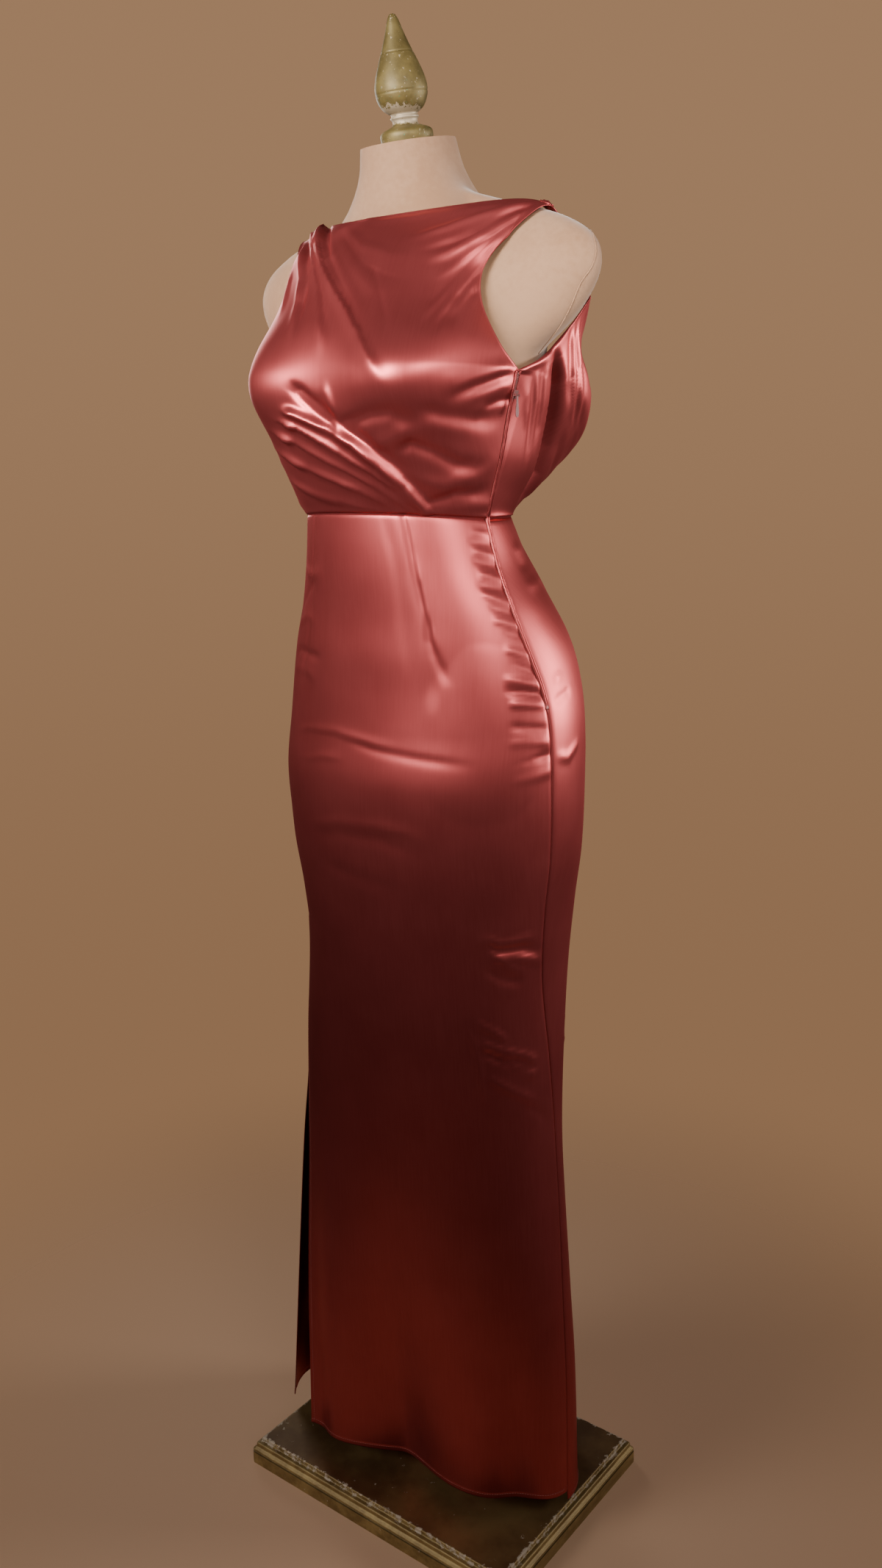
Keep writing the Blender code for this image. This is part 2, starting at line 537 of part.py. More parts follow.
def build_finial(material, collection):
    """Turned finial: a disc, a short neck and a tall drop, leaning with the neck's cut top."""
    profile = (  # radius, height above the neck, from the tip down the outer side
        (0.0000, 0.1165), (0.0042, 0.1160), (0.0062, 0.1100), (0.0100, 0.0980), (0.0150, 0.0850),
        (0.0205, 0.0720), (0.0248, 0.0600), (0.0266, 0.0500), (0.0255, 0.0410), (0.0215, 0.0330),
        (0.0165, 0.0285), (0.0138, 0.0260), (0.0135, 0.0180), (0.0165, 0.0150), (0.0235, 0.0125),
        (0.0270, 0.0075), (0.0262, 0.0000), (0.0000, 0.0000))
    mesh = bpy.data.meshes.new("finial")
    vertices = [(radius, 0.0, height) for radius, height in profile]
    mesh.from_pydata(vertices, [(index, index + 1) for index in range(len(vertices) - 1)], [])
    finial = new_object("finial", mesh, material, collection)
    turn = finial.modifiers.new("turn", "SCREW")
    turn.steps = 20
    turn.render_steps = 20
    turn.use_merge_vertices = True
    turn.merge_threshold = 0.0001
    turn.use_smooth_shade = True
    neck = smooth_row(FORM_RINGS, 0, NECK_TOP_Z)
    seat_y = (neck.front + neck.back) / 2
    seat_z = NECK_TOP_Z + math.tan(NECK_SLANT) * (seat_y - neck.widest_y)
    lean = Vector((0.0, -math.sin(NECK_SLANT), math.cos(NECK_SLANT)))
    finial.location = Vector((0.0, seat_y, seat_z)) + lean * SEAM_GAP
    finial.rotation_euler = (NECK_SLANT, 0.0, 0.0)
    return finial


def build_block(name, size, bottom_z, bevel, material, collection):
    """A level board with softly rounded edges, centred on the origin."""
    builder = bmesh.new()
    bmesh.ops.create_cube(builder, size=1.0)
    bmesh.ops.scale(builder, vec=size, verts=builder.verts)
    mesh = bpy.data.meshes.new(name)
    builder.to_mesh(mesh)
    builder.free()
    block = new_object(name, mesh, material, collection)
    block.location = (0.0, 0.0, bottom_z + size[2] / 2)
    rounding = block.modifiers.new("rounding", "BEVEL")
    rounding.width = bevel
    rounding.segments = 2
    return block


def build_stand(gold, top_wood, steel, collection):
    """Foot board with its two-step moulded edge, and the pole up to the form."""
    width, depth = BOARD_SIZE
    build_block("foot_board", (width, depth, BOARD_HEIGHT), 0.0, 0.002, gold, collection)
    top = BOARD_HEIGHT
    for index, name in enumerate(("foot_moulding", "foot_panel")):
        set_in = 2 * RIM_STEP_IN[index]
        size = (width - set_in, depth - set_in, RIM_STEP - SEAM_GAP)
        build_block(name, size, top + SEAM_GAP, 0.0018, (gold, top_wood)[index], collection)
        top += RIM_STEP
    length = FORM_BOTTOM_Z - top - 2 * SEAM_GAP
    builder = bmesh.new()
    bmesh.ops.create_cone(builder, cap_ends=True, segments=20, radius1=POLE_RADIUS, radius2=POLE_RADIUS,
                          depth=length)
    mesh = bpy.data.meshes.new("stand_pole")
    builder.to_mesh(mesh)
    builder.free()
    mesh.shade_smooth()
    mesh.set_sharp_from_angle(angle=math.radians(40))
    pole = new_object("stand_pole", mesh, steel, collection)
    pole.location = (0.0, 0.0, top + SEAM_GAP + length / 2)


def left_seam(z):
    """Point of the cloth's inner face on the left side seam, at a height."""
    if z < WAIST_Z:
        return skirt_point(1.0, z, True)
    rows = [EdgeRow(row.z, row.x, row.y, row.up) for row in SIDE_SEAM]
    up = smooth_row(rows, 0, z).z
    return front_bodice_point(1.0, up)


def seam_frame(z):
    """Middle, outward, along-seam-up and sideways directions of the zip at a height."""
    here = left_seam(z)
    up = (left_seam(z + 0.006) - left_seam(z - 0.006)).normalized()
    outward = Vector((1.0, -0.10, 0.0))
    outward = (outward - up * outward.dot(up)).normalized()
    return here, outward, up, up.cross(outward)


def build_zip(thread, collection):
    """Zip strip laid on the left side seam."""
    under = WALL + 3 * SEAM_GAP
    builder = bmesh.new()
    rings = []
    for z in even_steps(ZIP_END_Z, ZIP_TOP_Z, 26):
        here, outward, _, side = seam_frame(z)
        corners = ((under + ZIP_THICK, -1), (under + ZIP_THICK, 1), (under, 1), (under, -1))
        rings.append([builder.verts.new(here + outward * lift + side * (half * ZIP_WIDTH / 2))
                      for lift, half in corners])
    for lower, upper in zip(rings, rings[1:]):
        for index in range(4):
            following = (index + 1) % 4
            builder.faces.new((lower[index], lower[following], upper[following], upper[index]))
    builder.faces.new(rings[0])
    builder.faces.new(reversed(rings[-1]))
    bmesh.ops.recalc_face_normals(builder, faces=builder.faces)
    mesh = bpy.data.meshes.new("side_zip")
    builder.to_mesh(mesh)
    builder.free()
    new_object("side_zip", mesh, thread, collection)


def stand_on_zip(thing, lift, hanging=False):
    """Put an object built with X across the zip, Y up it and Z outward at the slider's place.

    A hanging one keeps X across the zip and has its Y as near upright as that allows.
    """
    here, outward, up, side = seam_frame(SLIDER_Z)
    place = here + outward * lift
    if hanging:
        up = (Vector((0.0, 0.0, 1.0)) - side * side.z).normalized()
        outward = side.cross(up)
    turn = Matrix((side, up, outward)).transposed()
    thing.matrix_world = Matrix.Translation(place) @ turn.to_4x4()


def small_box(name, size, centre, material, collection):
    builder = bmesh.new()
    bmesh.ops.create_cube(builder, size=1.0)
    bmesh.ops.scale(builder, vec=size, verts=builder.verts)
    bmesh.ops.translate(builder, vec=centre, verts=builder.verts)
    mesh = bpy.data.meshes.new(name)
    builder.to_mesh(mesh)
    builder.free()
    return new_object(name, mesh, material, collection)


def small_rod(name, radius, length, material, collection):
    """Cylinder that lies along its own X axis."""
    builder = bmesh.new()
    bmesh.ops.create_cone(builder, cap_ends=True, segments=16, radius1=radius, radius2=radius,
                          depth=length, matrix=Matrix.Rotation(math.pi / 2, 3, "Y").to_4x4())
    mesh = bpy.data.meshes.new(name)
    builder.to_mesh(mesh)
    builder.free()
    return new_object(name, mesh, material, collection)


def combine(target, other, operation):
    step = target.modifiers.new(other.name, "BOOLEAN")
    step.operation = operation
    step.solver = "EXACT"
    step.object = other


def build_slider(metal, collection, cutters):
    """Slider: a plate on the zip, two lugs and the pin that carries the tab."""
    width, _, thick = SLIDER_SIZE
    plate_middle = WALL + 4 * SEAM_GAP + ZIP_THICK + thick / 2
    plate = small_box("zip_slider", SLIDER_SIZE, (0.0, 0.0, plate_middle), metal, collection)
    rounding = plate.modifiers.new("rounding", "BEVEL")
    rounding.width = 0.0004
    rounding.segments = 2
    stand_on_zip(plate, 0.0)
    lug_foot = plate_middle
    lug_height = PIN_LIFT + LUG_OVER_PIN - lug_foot
    for name, end in (("lug_a", -1), ("lug_b", 1)):
        centre = (end * (width - LUG_THICK - 0.0006) / 2, 0.0, lug_foot + lug_height / 2)
        lug = small_box(name, (LUG_THICK, LUG_LENGTH, lug_height), centre, metal, cutters)
        stand_on_zip(lug, 0.0)
        combine(plate, lug, "UNION")
    pin = small_rod("pin", PIN_RADIUS, width - LUG_THICK - 0.0006, metal, cutters)
    stand_on_zip(pin, PIN_LIFT)
    combine(plate, pin, "UNION")


def build_pull(metal, collection, cutters):
    """Drop-shaped tab on a barrel round the slider's pin; its origin lies on the pin's axis."""
    right_side = ((0.0011, -0.0007), (0.0012, -0.0050), (0.0017, -0.0100), (0.0022, -0.0150),
                  (0.0023, -0.0175), (0.0018, -0.0197), (0.0009, -0.0208))
    outline = list(right_side) + [(-x, y) for x, y in reversed(right_side)]
    builder = bmesh.new()
    faces = [[builder.verts.new((x, y, level)) for x, y in outline]
             for level in (-TAB_THICK / 2, TAB_THICK / 2)]
    count = len(outline)
    for index in range(count):
        following = (index + 1) % count
        builder.faces.new((faces[0][index], faces[0][following], faces[1][following], faces[1][index]))
    builder.faces.new(reversed(faces[0]))
    builder.faces.new(faces[1])
    bmesh.ops.recalc_face_normals(builder, faces=builder.faces)
    mesh = bpy.data.meshes.new("zip_pull")
    builder.to_mesh(mesh)
    builder.free()
    tab = new_object("zip_pull", mesh, metal, collection)
    stand_on_zip(tab, PIN_LIFT, True)
    barrel = small_rod("barrel", BARREL_RADIUS, BARREL_LENGTH, metal, cutters)
    stand_on_zip(barrel, PIN_LIFT, True)
    combine(tab, barrel, "UNION")
    bore = small_rod("bore", BORE_RADIUS, 2 * BARREL_LENGTH, metal, cutters)
    stand_on_zip(bore, PIN_LIFT, True)
    combine(tab, bore, "DIFFERENCE")


def main():
    for thing in list(bpy.data.objects):
        bpy.data.objects.remove(thing)
    gown = new_collection("evening_gown_on_form")
    cutters = new_collection("cutters")
    satin = new_material("rust_satin", (0.42, 0.085, 0.065), 0.32)
    jersey = new_material("beige_jersey", (0.62, 0.47, 0.34), 0.85)
    gold = new_material("antique_gold", (0.24, 0.17, 0.06), 0.45)
    top_wood = new_material("worn_brown_gold", (0.16, 0.09, 0.035), 0.5)
    steel = new_material("black_steel", (0.05, 0.05, 0.05), 0.4, 0.6)
    zip_thread = new_material("zip_nylon", (0.20, 0.05, 0.04), 0.5)
    zip_metal = new_material("painted_zip_metal", (0.40, 0.09, 0.07), 0.35, 0.2)
    build_form(jersey, gown)
    build_finial(gold, gown)
    build_stand(gold, top_wood, steel, gown)
    cloth_sheet("bodice_front", front_bodice_point, even_steps(-1, 1, 42),
                [0.0] + even_steps(SEAM_BAND_UP, 1, 26), True, satin, gown)
    strap_steps = even_steps(1, 2, 5)[1:]
    back_columns = [-step for step in reversed(strap_steps)] + even_steps(-1, 1, 34) + strap_steps
    back_levels = [0.0] + even_steps(SEAM_BAND_UP, STRAP_ROOT_UP, 14) + even_steps(STRAP_ROOT_UP, 1, 6)[1:]
    cloth_sheet("bodice_back", back_bodice_point, back_columns, back_levels, False, satin, gown)
    skirt_columns = even_steps(-1, 1, 24)
    for name, is_front, hem_z in (("skirt_front", True, FRONT_HEM_Z), ("skirt_back", False, BACK_HEM_Z)):
        levels = even_steps(hem_z, WAIST_Z - WAIST_GAP, 26)
        cloth_sheet(name, lambda u, z, is_front=is_front: skirt_point(u, z, is_front), skirt_columns,
                    levels, is_front, satin, gown)
    build_zip(zip_thread, gown)
    build_slider(zip_metal, gown, cutters)
    build_pull(zip_metal, gown, cutters)


main()
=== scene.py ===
"""Sleeveless satin evening gown on a limbless dress form, dressed over its CAD frame."""
import math

import bmesh
import bpy
import numpy as np
from mathutils import Matrix, Vector


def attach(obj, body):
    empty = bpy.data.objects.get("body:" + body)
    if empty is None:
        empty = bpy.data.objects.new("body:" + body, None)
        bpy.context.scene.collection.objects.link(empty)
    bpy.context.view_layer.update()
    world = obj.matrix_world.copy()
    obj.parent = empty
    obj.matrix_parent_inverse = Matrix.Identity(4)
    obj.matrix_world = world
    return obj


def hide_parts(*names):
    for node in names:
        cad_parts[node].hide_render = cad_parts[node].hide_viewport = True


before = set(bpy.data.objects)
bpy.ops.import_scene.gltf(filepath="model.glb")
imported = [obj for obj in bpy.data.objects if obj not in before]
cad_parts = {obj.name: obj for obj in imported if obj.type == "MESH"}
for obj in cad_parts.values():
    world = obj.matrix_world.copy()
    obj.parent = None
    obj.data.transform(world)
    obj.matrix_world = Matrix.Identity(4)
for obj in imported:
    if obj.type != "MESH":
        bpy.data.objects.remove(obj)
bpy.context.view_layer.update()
BODY = "gown_on_form"


# ---------------------------------------------------------------- dress form
# The padded form: trunk, round shoulder ends and neck under one stretched jersey cover.  It is
# drawn through level rings, each the larger of a trunk shape and a shoulder shape, and its neck
# is cut on a slant.
# z, middle x, half width, y of the widest place, front y, back y, shoulder reach, shoulder depth
FORM_RINGS = (
    (0.850, 0.001, 0.172, 0.010, -0.114, 0.137, 0.0, 0.04),
    (0.920, 0.002, 0.176, 0.009, -0.117, 0.139, 0.0, 0.04),
    (0.980, 0.003, 0.172, 0.012, -0.110, 0.141, 0.0, 0.04),
    (1.060, 0.002, 0.158, 0.012, -0.105, 0.132, 0.0, 0.04),
    (1.120, 0.002, 0.134, 0.001, -0.105, 0.103, 0.0, 0.04),
    (1.196, -0.001, 0.110, -0.017, -0.107, 0.069, 0.0, 0.04),
    (1.260, -0.001, 0.120, -0.015, -0.112, 0.079, 0.02, 0.04),
    (1.320, 0.000, 0.139, -0.008, -0.126, 0.094, 0.09, 0.045),
    (1.355, 0.000, 0.146, -0.004, -0.124, 0.100, 0.148, 0.050),
    (1.385, 0.000, 0.147, 0.000, -0.112, 0.102, 0.190, 0.054),
    (1.415, 0.000, 0.143, 0.004, -0.097, 0.100, 0.213, 0.058),
    (1.440, 0.000, 0.136, 0.006, -0.083, 0.094, 0.220, 0.055),
    (1.462, 0.000, 0.125, 0.008, -0.071, 0.092, 0.210, 0.047),
    (1.480, 0.000, 0.108, 0.009, -0.062, 0.088, 0.182, 0.037),
    (1.494, 0.000, 0.090, 0.009, -0.056, 0.083, 0.144, 0.028),
    (1.508, 0.000, 0.075, 0.007, -0.052, 0.078, 0.097, 0.021),
    (1.524, 0.000, 0.061, 0.002, -0.050, 0.070, 0.050, 0.020),
    (1.545, 0.000, 0.050, -0.002, -0.050, 0.054, 0.040, 0.020),
    (1.570, 0.000, 0.046, -0.005, -0.050, 0.040, 0.035, 0.020),
)
FORM_BUST_LIFT, BUST_Z, BUST_X = 0.026, 1.330, 0.082
NECK_TOP_Z, NECK_SLANT = 1.570, math.radians(10.0)


def blended_rows(table, value):
    """Columns of a table at values of its first column, cubic between the rows."""
    rows = np.array(table, float)
    rows = rows[np.argsort(rows[:, 0])]
    key = rows[:, 0]
    value = np.clip(np.asarray(value, float), key[0], key[-1])
    here = np.clip(np.searchsorted(key, value, side="right") - 1, 0, len(key) - 2)
    before, after = np.maximum(here - 1, 0), np.minimum(here + 2, len(key) - 1)
    span = (key[here + 1] - key[here])[..., None]
    t = (value - key[here])[..., None] / span
    slope_a = (rows[here + 1] - rows[before]) / (key[here + 1] - key[before])[..., None] * span
    slope_b = (rows[after] - rows[here]) / (key[after] - key[here])[..., None] * span
    mixed = (rows[here] * (2 * t**3 - 3 * t**2 + 1) + slope_a * (t**3 - 2 * t**2 + t)
             + rows[here + 1] * (3 * t**2 - 2 * t**3) + slope_b * (t**3 - t**2))
    return [mixed[..., column] for column in range(1, rows.shape[1])]


def eased(value, low, high):
    t = np.clip((value - low) / (high - low), 0.0, 1.0)
    return t * t * (3 - 2 * t)


def bust_swell(x, z, lift):
    sides = sum(np.exp(-(((x - side * BUST_X) / 0.046) ** 2)) for side in (-1, 1))
    tall = np.where(z > BUST_Z, 0.052, 0.044)
    return lift * sides * np.exp(-(((z - BUST_Z) / tall) ** 2))


def form_reach(angle, z):
    """Middle of the form's ring at a height and the distance from it to the skin."""
    shift, half, widest, front, back, cap_reach, cap_depth = blended_rows(FORM_RINGS, z)
    cosine, sine = np.cos(angle), np.sin(angle)
    depth = np.where(sine > 0, back - widest, widest - front)
    trunk = ((np.abs(cosine) / half) ** 2.2 + (np.abs(sine) / depth) ** 2.2) ** (-1 / 2.2)
    cap = ((cosine / np.maximum(cap_reach, 0.03)) ** 2 + (sine / cap_depth) ** 2) ** -0.5
    both = (trunk + cap + np.sqrt((trunk - cap) ** 2 + 0.012**2)) / 2
    reach = np.where(cap_reach < 0.03, trunk, both)
    reach = reach + bust_swell(reach * cosine, z, FORM_BUST_LIFT) * np.maximum(-sine, 0.0)
    return shift, widest, reach


def room_to_form(points):
    x, y, z = points[..., 0], points[..., 1], points[..., 2]
    shift, _, widest, *_ = blended_rows(FORM_RINGS, z)
    angle = np.arctan2(y - widest, x - shift)
    return np.hypot(x - shift, y - widest) - form_reach(angle, z)[2]


def kept_clear(points, room):
    """Points moved out along the form's slope until they have this much room to it."""
    step = 0.0008
    for _ in range(6):
        gap = room_to_form(points)
        slope = np.stack([(room_to_form(points + step * axis) - room_to_form(points - step * axis))
                          for axis in np.eye(3)], axis=-1) / (2 * step)
        steep = np.linalg.norm(slope, axis=-1)
        distance = gap / np.maximum(steep, 1.0)
        short = np.maximum(room - distance, 0.0)
        points = points + slope / steep[..., None] * short[..., None]
    return points


def placed(name, data):
    """A new object of this data, in the scene."""
    thing = bpy.data.objects.new(name, data)
    bpy.context.scene.collection.objects.link(thing)
    return thing


def woven_mesh(name, grid, around=False, flip=False, uv=None):
    """Mesh of quads over a grid of points, with a UV map in metres along and up the piece."""
    rows, columns = grid.shape[:2]
    index = np.arange(rows * columns).reshape(rows, columns)
    right = np.roll(index, -1, axis=1) if around else index[:, 1:]
    left = index if around else index[:, :-1]
    quads = np.stack([left[:-1], right[:-1], right[1:], left[1:]], axis=-1).reshape(-1, 4)
    good = ~np.isnan(grid.reshape(-1, 3)[quads]).any(axis=(1, 2))
    quads = quads[good]
    if flip:
        quads = quads[:, ::-1]
    used = np.unique(quads)
    renumber = np.zeros(rows * columns, int)
    renumber[used] = np.arange(len(used))
    mesh = bpy.data.meshes.new(name)
    mesh.from_pydata(grid.reshape(-1, 3)[used].tolist(), [], renumber[quads].tolist())
    if uv is not None:
        layer = mesh.uv_layers.new(name="cloth")
        layer.data.foreach_set("uv", uv.reshape(-1, 2)[quads.reshape(-1)].astype(np.float32).ravel())
    mesh.shade_smooth()
    return placed(name, mesh)


def capped(thing, weld=0.0):
    """A mesh with its open rims closed and all faces turned outward; points closer than weld join."""
    shaper = bmesh.new()
    shaper.from_mesh(thing.data)
    if weld:
        bmesh.ops.remove_doubles(shaper, verts=shaper.verts, dist=weld)
    bmesh.ops.holes_fill(shaper, edges=[edge for edge in shaper.edges if edge.is_boundary])
    bmesh.ops.recalc_face_normals(shaper, faces=shaper.faces)
    shaper.to_mesh(thing.data)
    shaper.free()
    return thing


def full_turn(count):
    """Angles spaced evenly round a circle."""
    return 2 * np.pi * np.arange(count) / count


class Wire:
    """A shader socket that takes arithmetic, so that a finish reads as an expression."""

    def __init__(self, tree, socket):
        self.tree = tree
        self.socket = socket

    def node(self, kind, settings=None, out=0, **sockets):
        made = self.tree.nodes.new(kind)
        for name, value in (settings or {}).items():
            if name == "stops":
                ramp = made.color_ramp
                while len(ramp.elements) < len(value):
                    ramp.elements.new(0.5)
                for element, (place, colour) in zip(ramp.elements, value):
                    element.position = place
                    element.color = (*colour, 1.0)
            else:
                setattr(made, name, value)
        for name, value in sockets.items():
            key = int(name[1:]) if name[0] == "i" and name[1:].isdigit() else name.replace("_", " ")
            target = made.inputs[key]
            if isinstance(value, Wire):
                self.tree.links.new(value.socket, target)
            else:
                target.default_value = value
        return Wire(self.tree, made.outputs[out])

    def _math(self, operation, a, b=0.0):
        return self.node("ShaderNodeMath", {"operation": operation}, i0=a, i1=b)

    def __add__(self, other):
        return self._math("ADD", self, other)

    __radd__ = __add__

    def __mul__(self, other):
        return self._math("MULTIPLY", self, other)

    __rmul__ = __mul__

    def __sub__(self, other):
        return self._math("SUBTRACT", self, other)

    def __rsub__(self, other):
        return self._math("SUBTRACT", other, self)

    def size(self):
        """This value without its sign."""
        return self._math("ABSOLUTE", self)

    def smaller(self, other):
        return self._math("MINIMUM", self, other)

    def between(self, low, high):
        """0 below low, 1 above high, smooth between."""
        return self.node("ShaderNodeMapRange", {"interpolation_type": "SMOOTHSTEP"}, Value=self,
                         From_Min=low, From_Max=high)

    def part(self, axis):
        return self.node("ShaderNodeSeparateXYZ", None, "XYZ".index(axis), i0=self)

    def scaled(self, x, y, z):
        return self.node("ShaderNodeVectorMath", {"operation": "MULTIPLY"}, i0=self, i1=(x, y, z))

    def noise(self, scale, detail=3.0, rough=0.5):
        return self.node("ShaderNodeTexNoise", None, Vector=self, Scale=scale, Detail=detail,
                         Roughness=rough)

    def mixed(self, first, second):
        """Colour that runs from first to second as this value runs from 0 to 1."""
        def colour(value):
            return value if isinstance(value, Wire) else (*value, 1.0)
        return self.node("ShaderNodeMix", {"data_type": "RGBA"}, 2, i0=self, i6=colour(first),
                         i7=colour(second))

    def bump(self, strength, distance):
        return self.node("ShaderNodeBump", None, Height=self, Strength=strength, Distance=distance)


def finish_of(name, **constants):
    """A new material, its Principled shader with constants set, and its first coordinates."""
    material = bpy.data.materials.new(name)
    material.use_nodes = True
    tree = material.node_tree
    shader = tree.nodes["Principled BSDF"]
    for key, value in constants.items():
        socket = shader.inputs[key.replace("_", " ")]
        socket.default_value = (*value, 1.0) if isinstance(value, tuple) and len(value) == 3 else value

    def feed(**links):
        for key, wire in links.items():
            tree.links.new(wire.socket, shader.inputs[key.replace("_", " ")])

    places = tree.nodes.new("ShaderNodeTexCoord")
    return material, feed, Wire(tree, places.outputs["Object"]), Wire(tree, places.outputs["UV"])


jersey, feed, place, _ = finish_of("jersey_knit", Roughness=0.82, Sheen_Weight=0.25,
                                   Sheen_Roughness=0.5, Specular_IOR_Level=0.3)
knit = (place.scaled(1, 1, 0.7).noise(1500.0, 2.0) + place.noise(420.0, 2.0) * 0.5)
mottle = place.noise(9.0, 4.0) * 0.7 + place.noise(160.0, 3.0) * 0.3
across = place.part("X")
# Past the cover seam, towards the back of each shoulder end, the jersey is painted a browner tone.
browner_past_seam = across.size().between(0.150, 0.178) * place.part("Y").between(-0.004, 0.020)
beige = mottle.between(0.35, 0.65).mixed((0.272, 0.142, 0.074), (0.340, 0.192, 0.108))
feed(Base_Color=(browner_past_seam * 0.55).mixed(beige, (0.200, 0.104, 0.054)), Normal=knit.bump(0.25, 0.0005))

form_levels = np.unique(np.concatenate([np.linspace(0.850, 1.30, 60), np.linspace(1.30, 1.570, 110)]))
turn = full_turn(176)
turn, level = np.meshgrid(turn, form_levels)
shift, half, widest, front, back, cap_reach, _ = blended_rows(FORM_RINGS, level)
depth = np.where(np.sin(turn) > 0, back - widest, widest - front)
angle = np.arctan2(depth * np.sin(turn), np.maximum(half, cap_reach) * np.cos(turn))
shift, widest, reach = form_reach(angle, level)
skin = np.stack([shift + reach * np.cos(angle), widest + reach * np.sin(angle), level], axis=-1)
skin[..., 2] += math.tan(NECK_SLANT) * eased(level, 1.515, NECK_TOP_Z) * (skin[..., 1] - widest)
form = capped(woven_mesh("dress_form", skin, around=True))
form.data.set_sharp_from_angle(angle=math.radians(55))
form.data.materials.append(jersey)
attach(form, BODY)
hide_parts("form_torso")


# ---------------------------------------------------------------- seam of the form's cover
# The jersey is joined round each shoulder end by a fine raised seam, sewn before the cover is
# drawn over the form.  It shows on the bare shoulder and runs on under the gown.
# x, y, z in millimetres, from the back of the shoulder's end to under the gown
COVER_SEAM = ((206, 14, 1466), (211, 5, 1456), (217, 1, 1442), (215, -3, 1430), (206, -9, 1414),
              (191, -8, 1391), (177, -4, 1374), (164, 2, 1356))


def smooth_line(points, count):
    """Points spaced evenly on a smooth curve through the given ones."""
    rows = np.column_stack([np.arange(len(points)), np.array(points, float)])
    dense = np.stack(blended_rows(rows, np.linspace(0, len(points) - 1, 40 * len(points))), axis=-1)
    length = np.concatenate([[0], np.cumsum(np.linalg.norm(np.diff(dense, axis=0), axis=1))])
    wanted = np.linspace(0, length[-1], count)
    return np.stack([np.interp(wanted, length, dense[:, axis]) for axis in range(3)], axis=-1)


def tube_along(name, line, radius, around):
    """Round tube along a line of points."""
    run = np.gradient(line, axis=0)
    run /= np.linalg.norm(run, axis=1)[:, None]
    aside = np.cross(run, (0.31, 0.22, 0.93))
    aside /= np.linalg.norm(aside, axis=1)[:, None]
    third = np.cross(run, aside)
    turn = full_turn(around)[None, :, None]
    ring = np.cos(turn) * aside[:, None] + np.sin(turn) * third[:, None]
    return capped(woven_mesh(name, line[:, None] + ring * radius, around=True), weld=1e-6)


def joined(name, things):
    """Several meshes as one object."""
    with bpy.context.temp_override(active_object=things[0], selected_editable_objects=things,
                                   object=things[0], selected_objects=things):
        bpy.ops.object.join()
    things[0].name = name
    things[0].data.name = name
    return things[0]


def onto_form(line, lift):
    """Points moved level onto the form's skin, and this far out."""
    shift, _, widest, *_ = blended_rows(FORM_RINGS, line[:, 2])
    angle = np.arctan2(line[:, 1] - widest, line[:, 0] - shift)
    shift, widest, reach = form_reach(angle, line[:, 2])
    return np.stack([shift + (reach + lift) * np.cos(angle), widest + (reach + lift) * np.sin(angle),
                     line[:, 2]], axis=-1)


cover_seams = []
for side in (-1, 1):
    line = smooth_line(np.array(COVER_SEAM) * (side * 0.001, 0.001, 0.001), 60)
    cover_seams.append(tube_along(f"cover_seam_{side}", onto_form(line, 0.0001), 0.0005, 6))
cover_seam = joined("cover_seams", cover_seams)
cover_seam.data.materials.append(jersey)
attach(cover_seam, BODY)


# ---------------------------------------------------------------- turned finial
# A drop, a short neck and a disc turned from one piece of wood and painted antique gold.  It is
# screwed into the neck's slanting top.  The paint is rubbed to the cream ground at its neck.
# radius and height above the neck, in millimetres, from the tip down
FINIAL_TURNING = ((0.3, 116.4), (2.6, 116.0), (4.4, 113.6), (6.4, 109.0), (10.0, 98.0), (15.0, 85.0),
                  (20.5, 72.0), (24.8, 60.0), (26.6, 50.0), (25.5, 41.0), (21.5, 33.0), (16.5, 28.6),
                  (14.2, 27.4), (13.3, 25.6), (14.4, 24.2), (14.2, 22.8), (13.0, 21.4), (12.7, 18.6),
                  (14.0, 16.4), (17.0, 15.2), (23.0, 12.8), (26.0, 10.6), (27.0, 7.4), (26.8, 4.0), (26.2, 0.4))
SCRIBED_LINES = (82.0, 46.0)

gold, feed, place, _ = finish_of("aged_gold_paint", Metallic=0.4, Specular_IOR_Level=0.5)
brushed = place.noise(60.0, 5.0, 0.6)
height = place.part("Z")
rubbed = (place.noise(330.0, 4.0, 0.65) + height.between(1.582, 1.590) * (1 - height.between(1.597, 1.604))
          * 0.30).between(0.62, 0.70)
on_neck = (1 - height.between(1.605, 1.635)) * height.between(1.0, 1.1)
specks = place.noise(520.0, 2.0).between(0.66, 0.72) * on_neck
paint = brushed.between(0.3, 0.75).mixed((0.085, 0.060, 0.016), (0.170, 0.124, 0.038))
paint = specks.mixed(paint, (0.075, 0.150, 0.075))
feed(Base_Color=(rubbed * height.between(1.0, 1.1)).mixed(paint, (0.36, 0.285, 0.19)),
     Roughness=0.42 + brushed * 0.22,
     Normal=(brushed + rubbed * -0.6).bump(0.35, 0.0006))

turning = smooth_line([(radius, 0, level) for radius, level in FINIAL_TURNING], 190) / 1000
for scribed in SCRIBED_LINES:
    turning[:, 0] -= 0.00045 * np.exp(-(((turning[:, 2] - scribed / 1000) / 0.0006) ** 2))
turn = full_turn(72)
grid = np.stack([turning[:, :1] * np.cos(turn), turning[:, :1] * np.sin(turn),
                 np.broadcast_to(turning[:, 2:], (len(turning), 72))], axis=-1)
finial = capped(woven_mesh("turned_finial", grid, around=True, flip=True))
seat = Matrix.Translation((0.0, -0.005, NECK_TOP_Z + 0.0003))
finial.data.transform(seat @ Matrix.Rotation(NECK_SLANT, 4, "X"))
finial.data.materials.append(gold)
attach(finial, BODY)
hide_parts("finial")


# ---------------------------------------------------------------- pole and foot
# A black steel pole stands in a wooden foot board with a moulded edge.  The board is painted gold,
# its top browner, and the paint is chipped to its cream ground along the edges.
steel, feed, place, _ = finish_of("blackened_steel", Metallic=0.8, Specular_IOR_Level=0.5)
drawn = place.scaled(1, 1, 0.05).noise(700.0, 2.0)
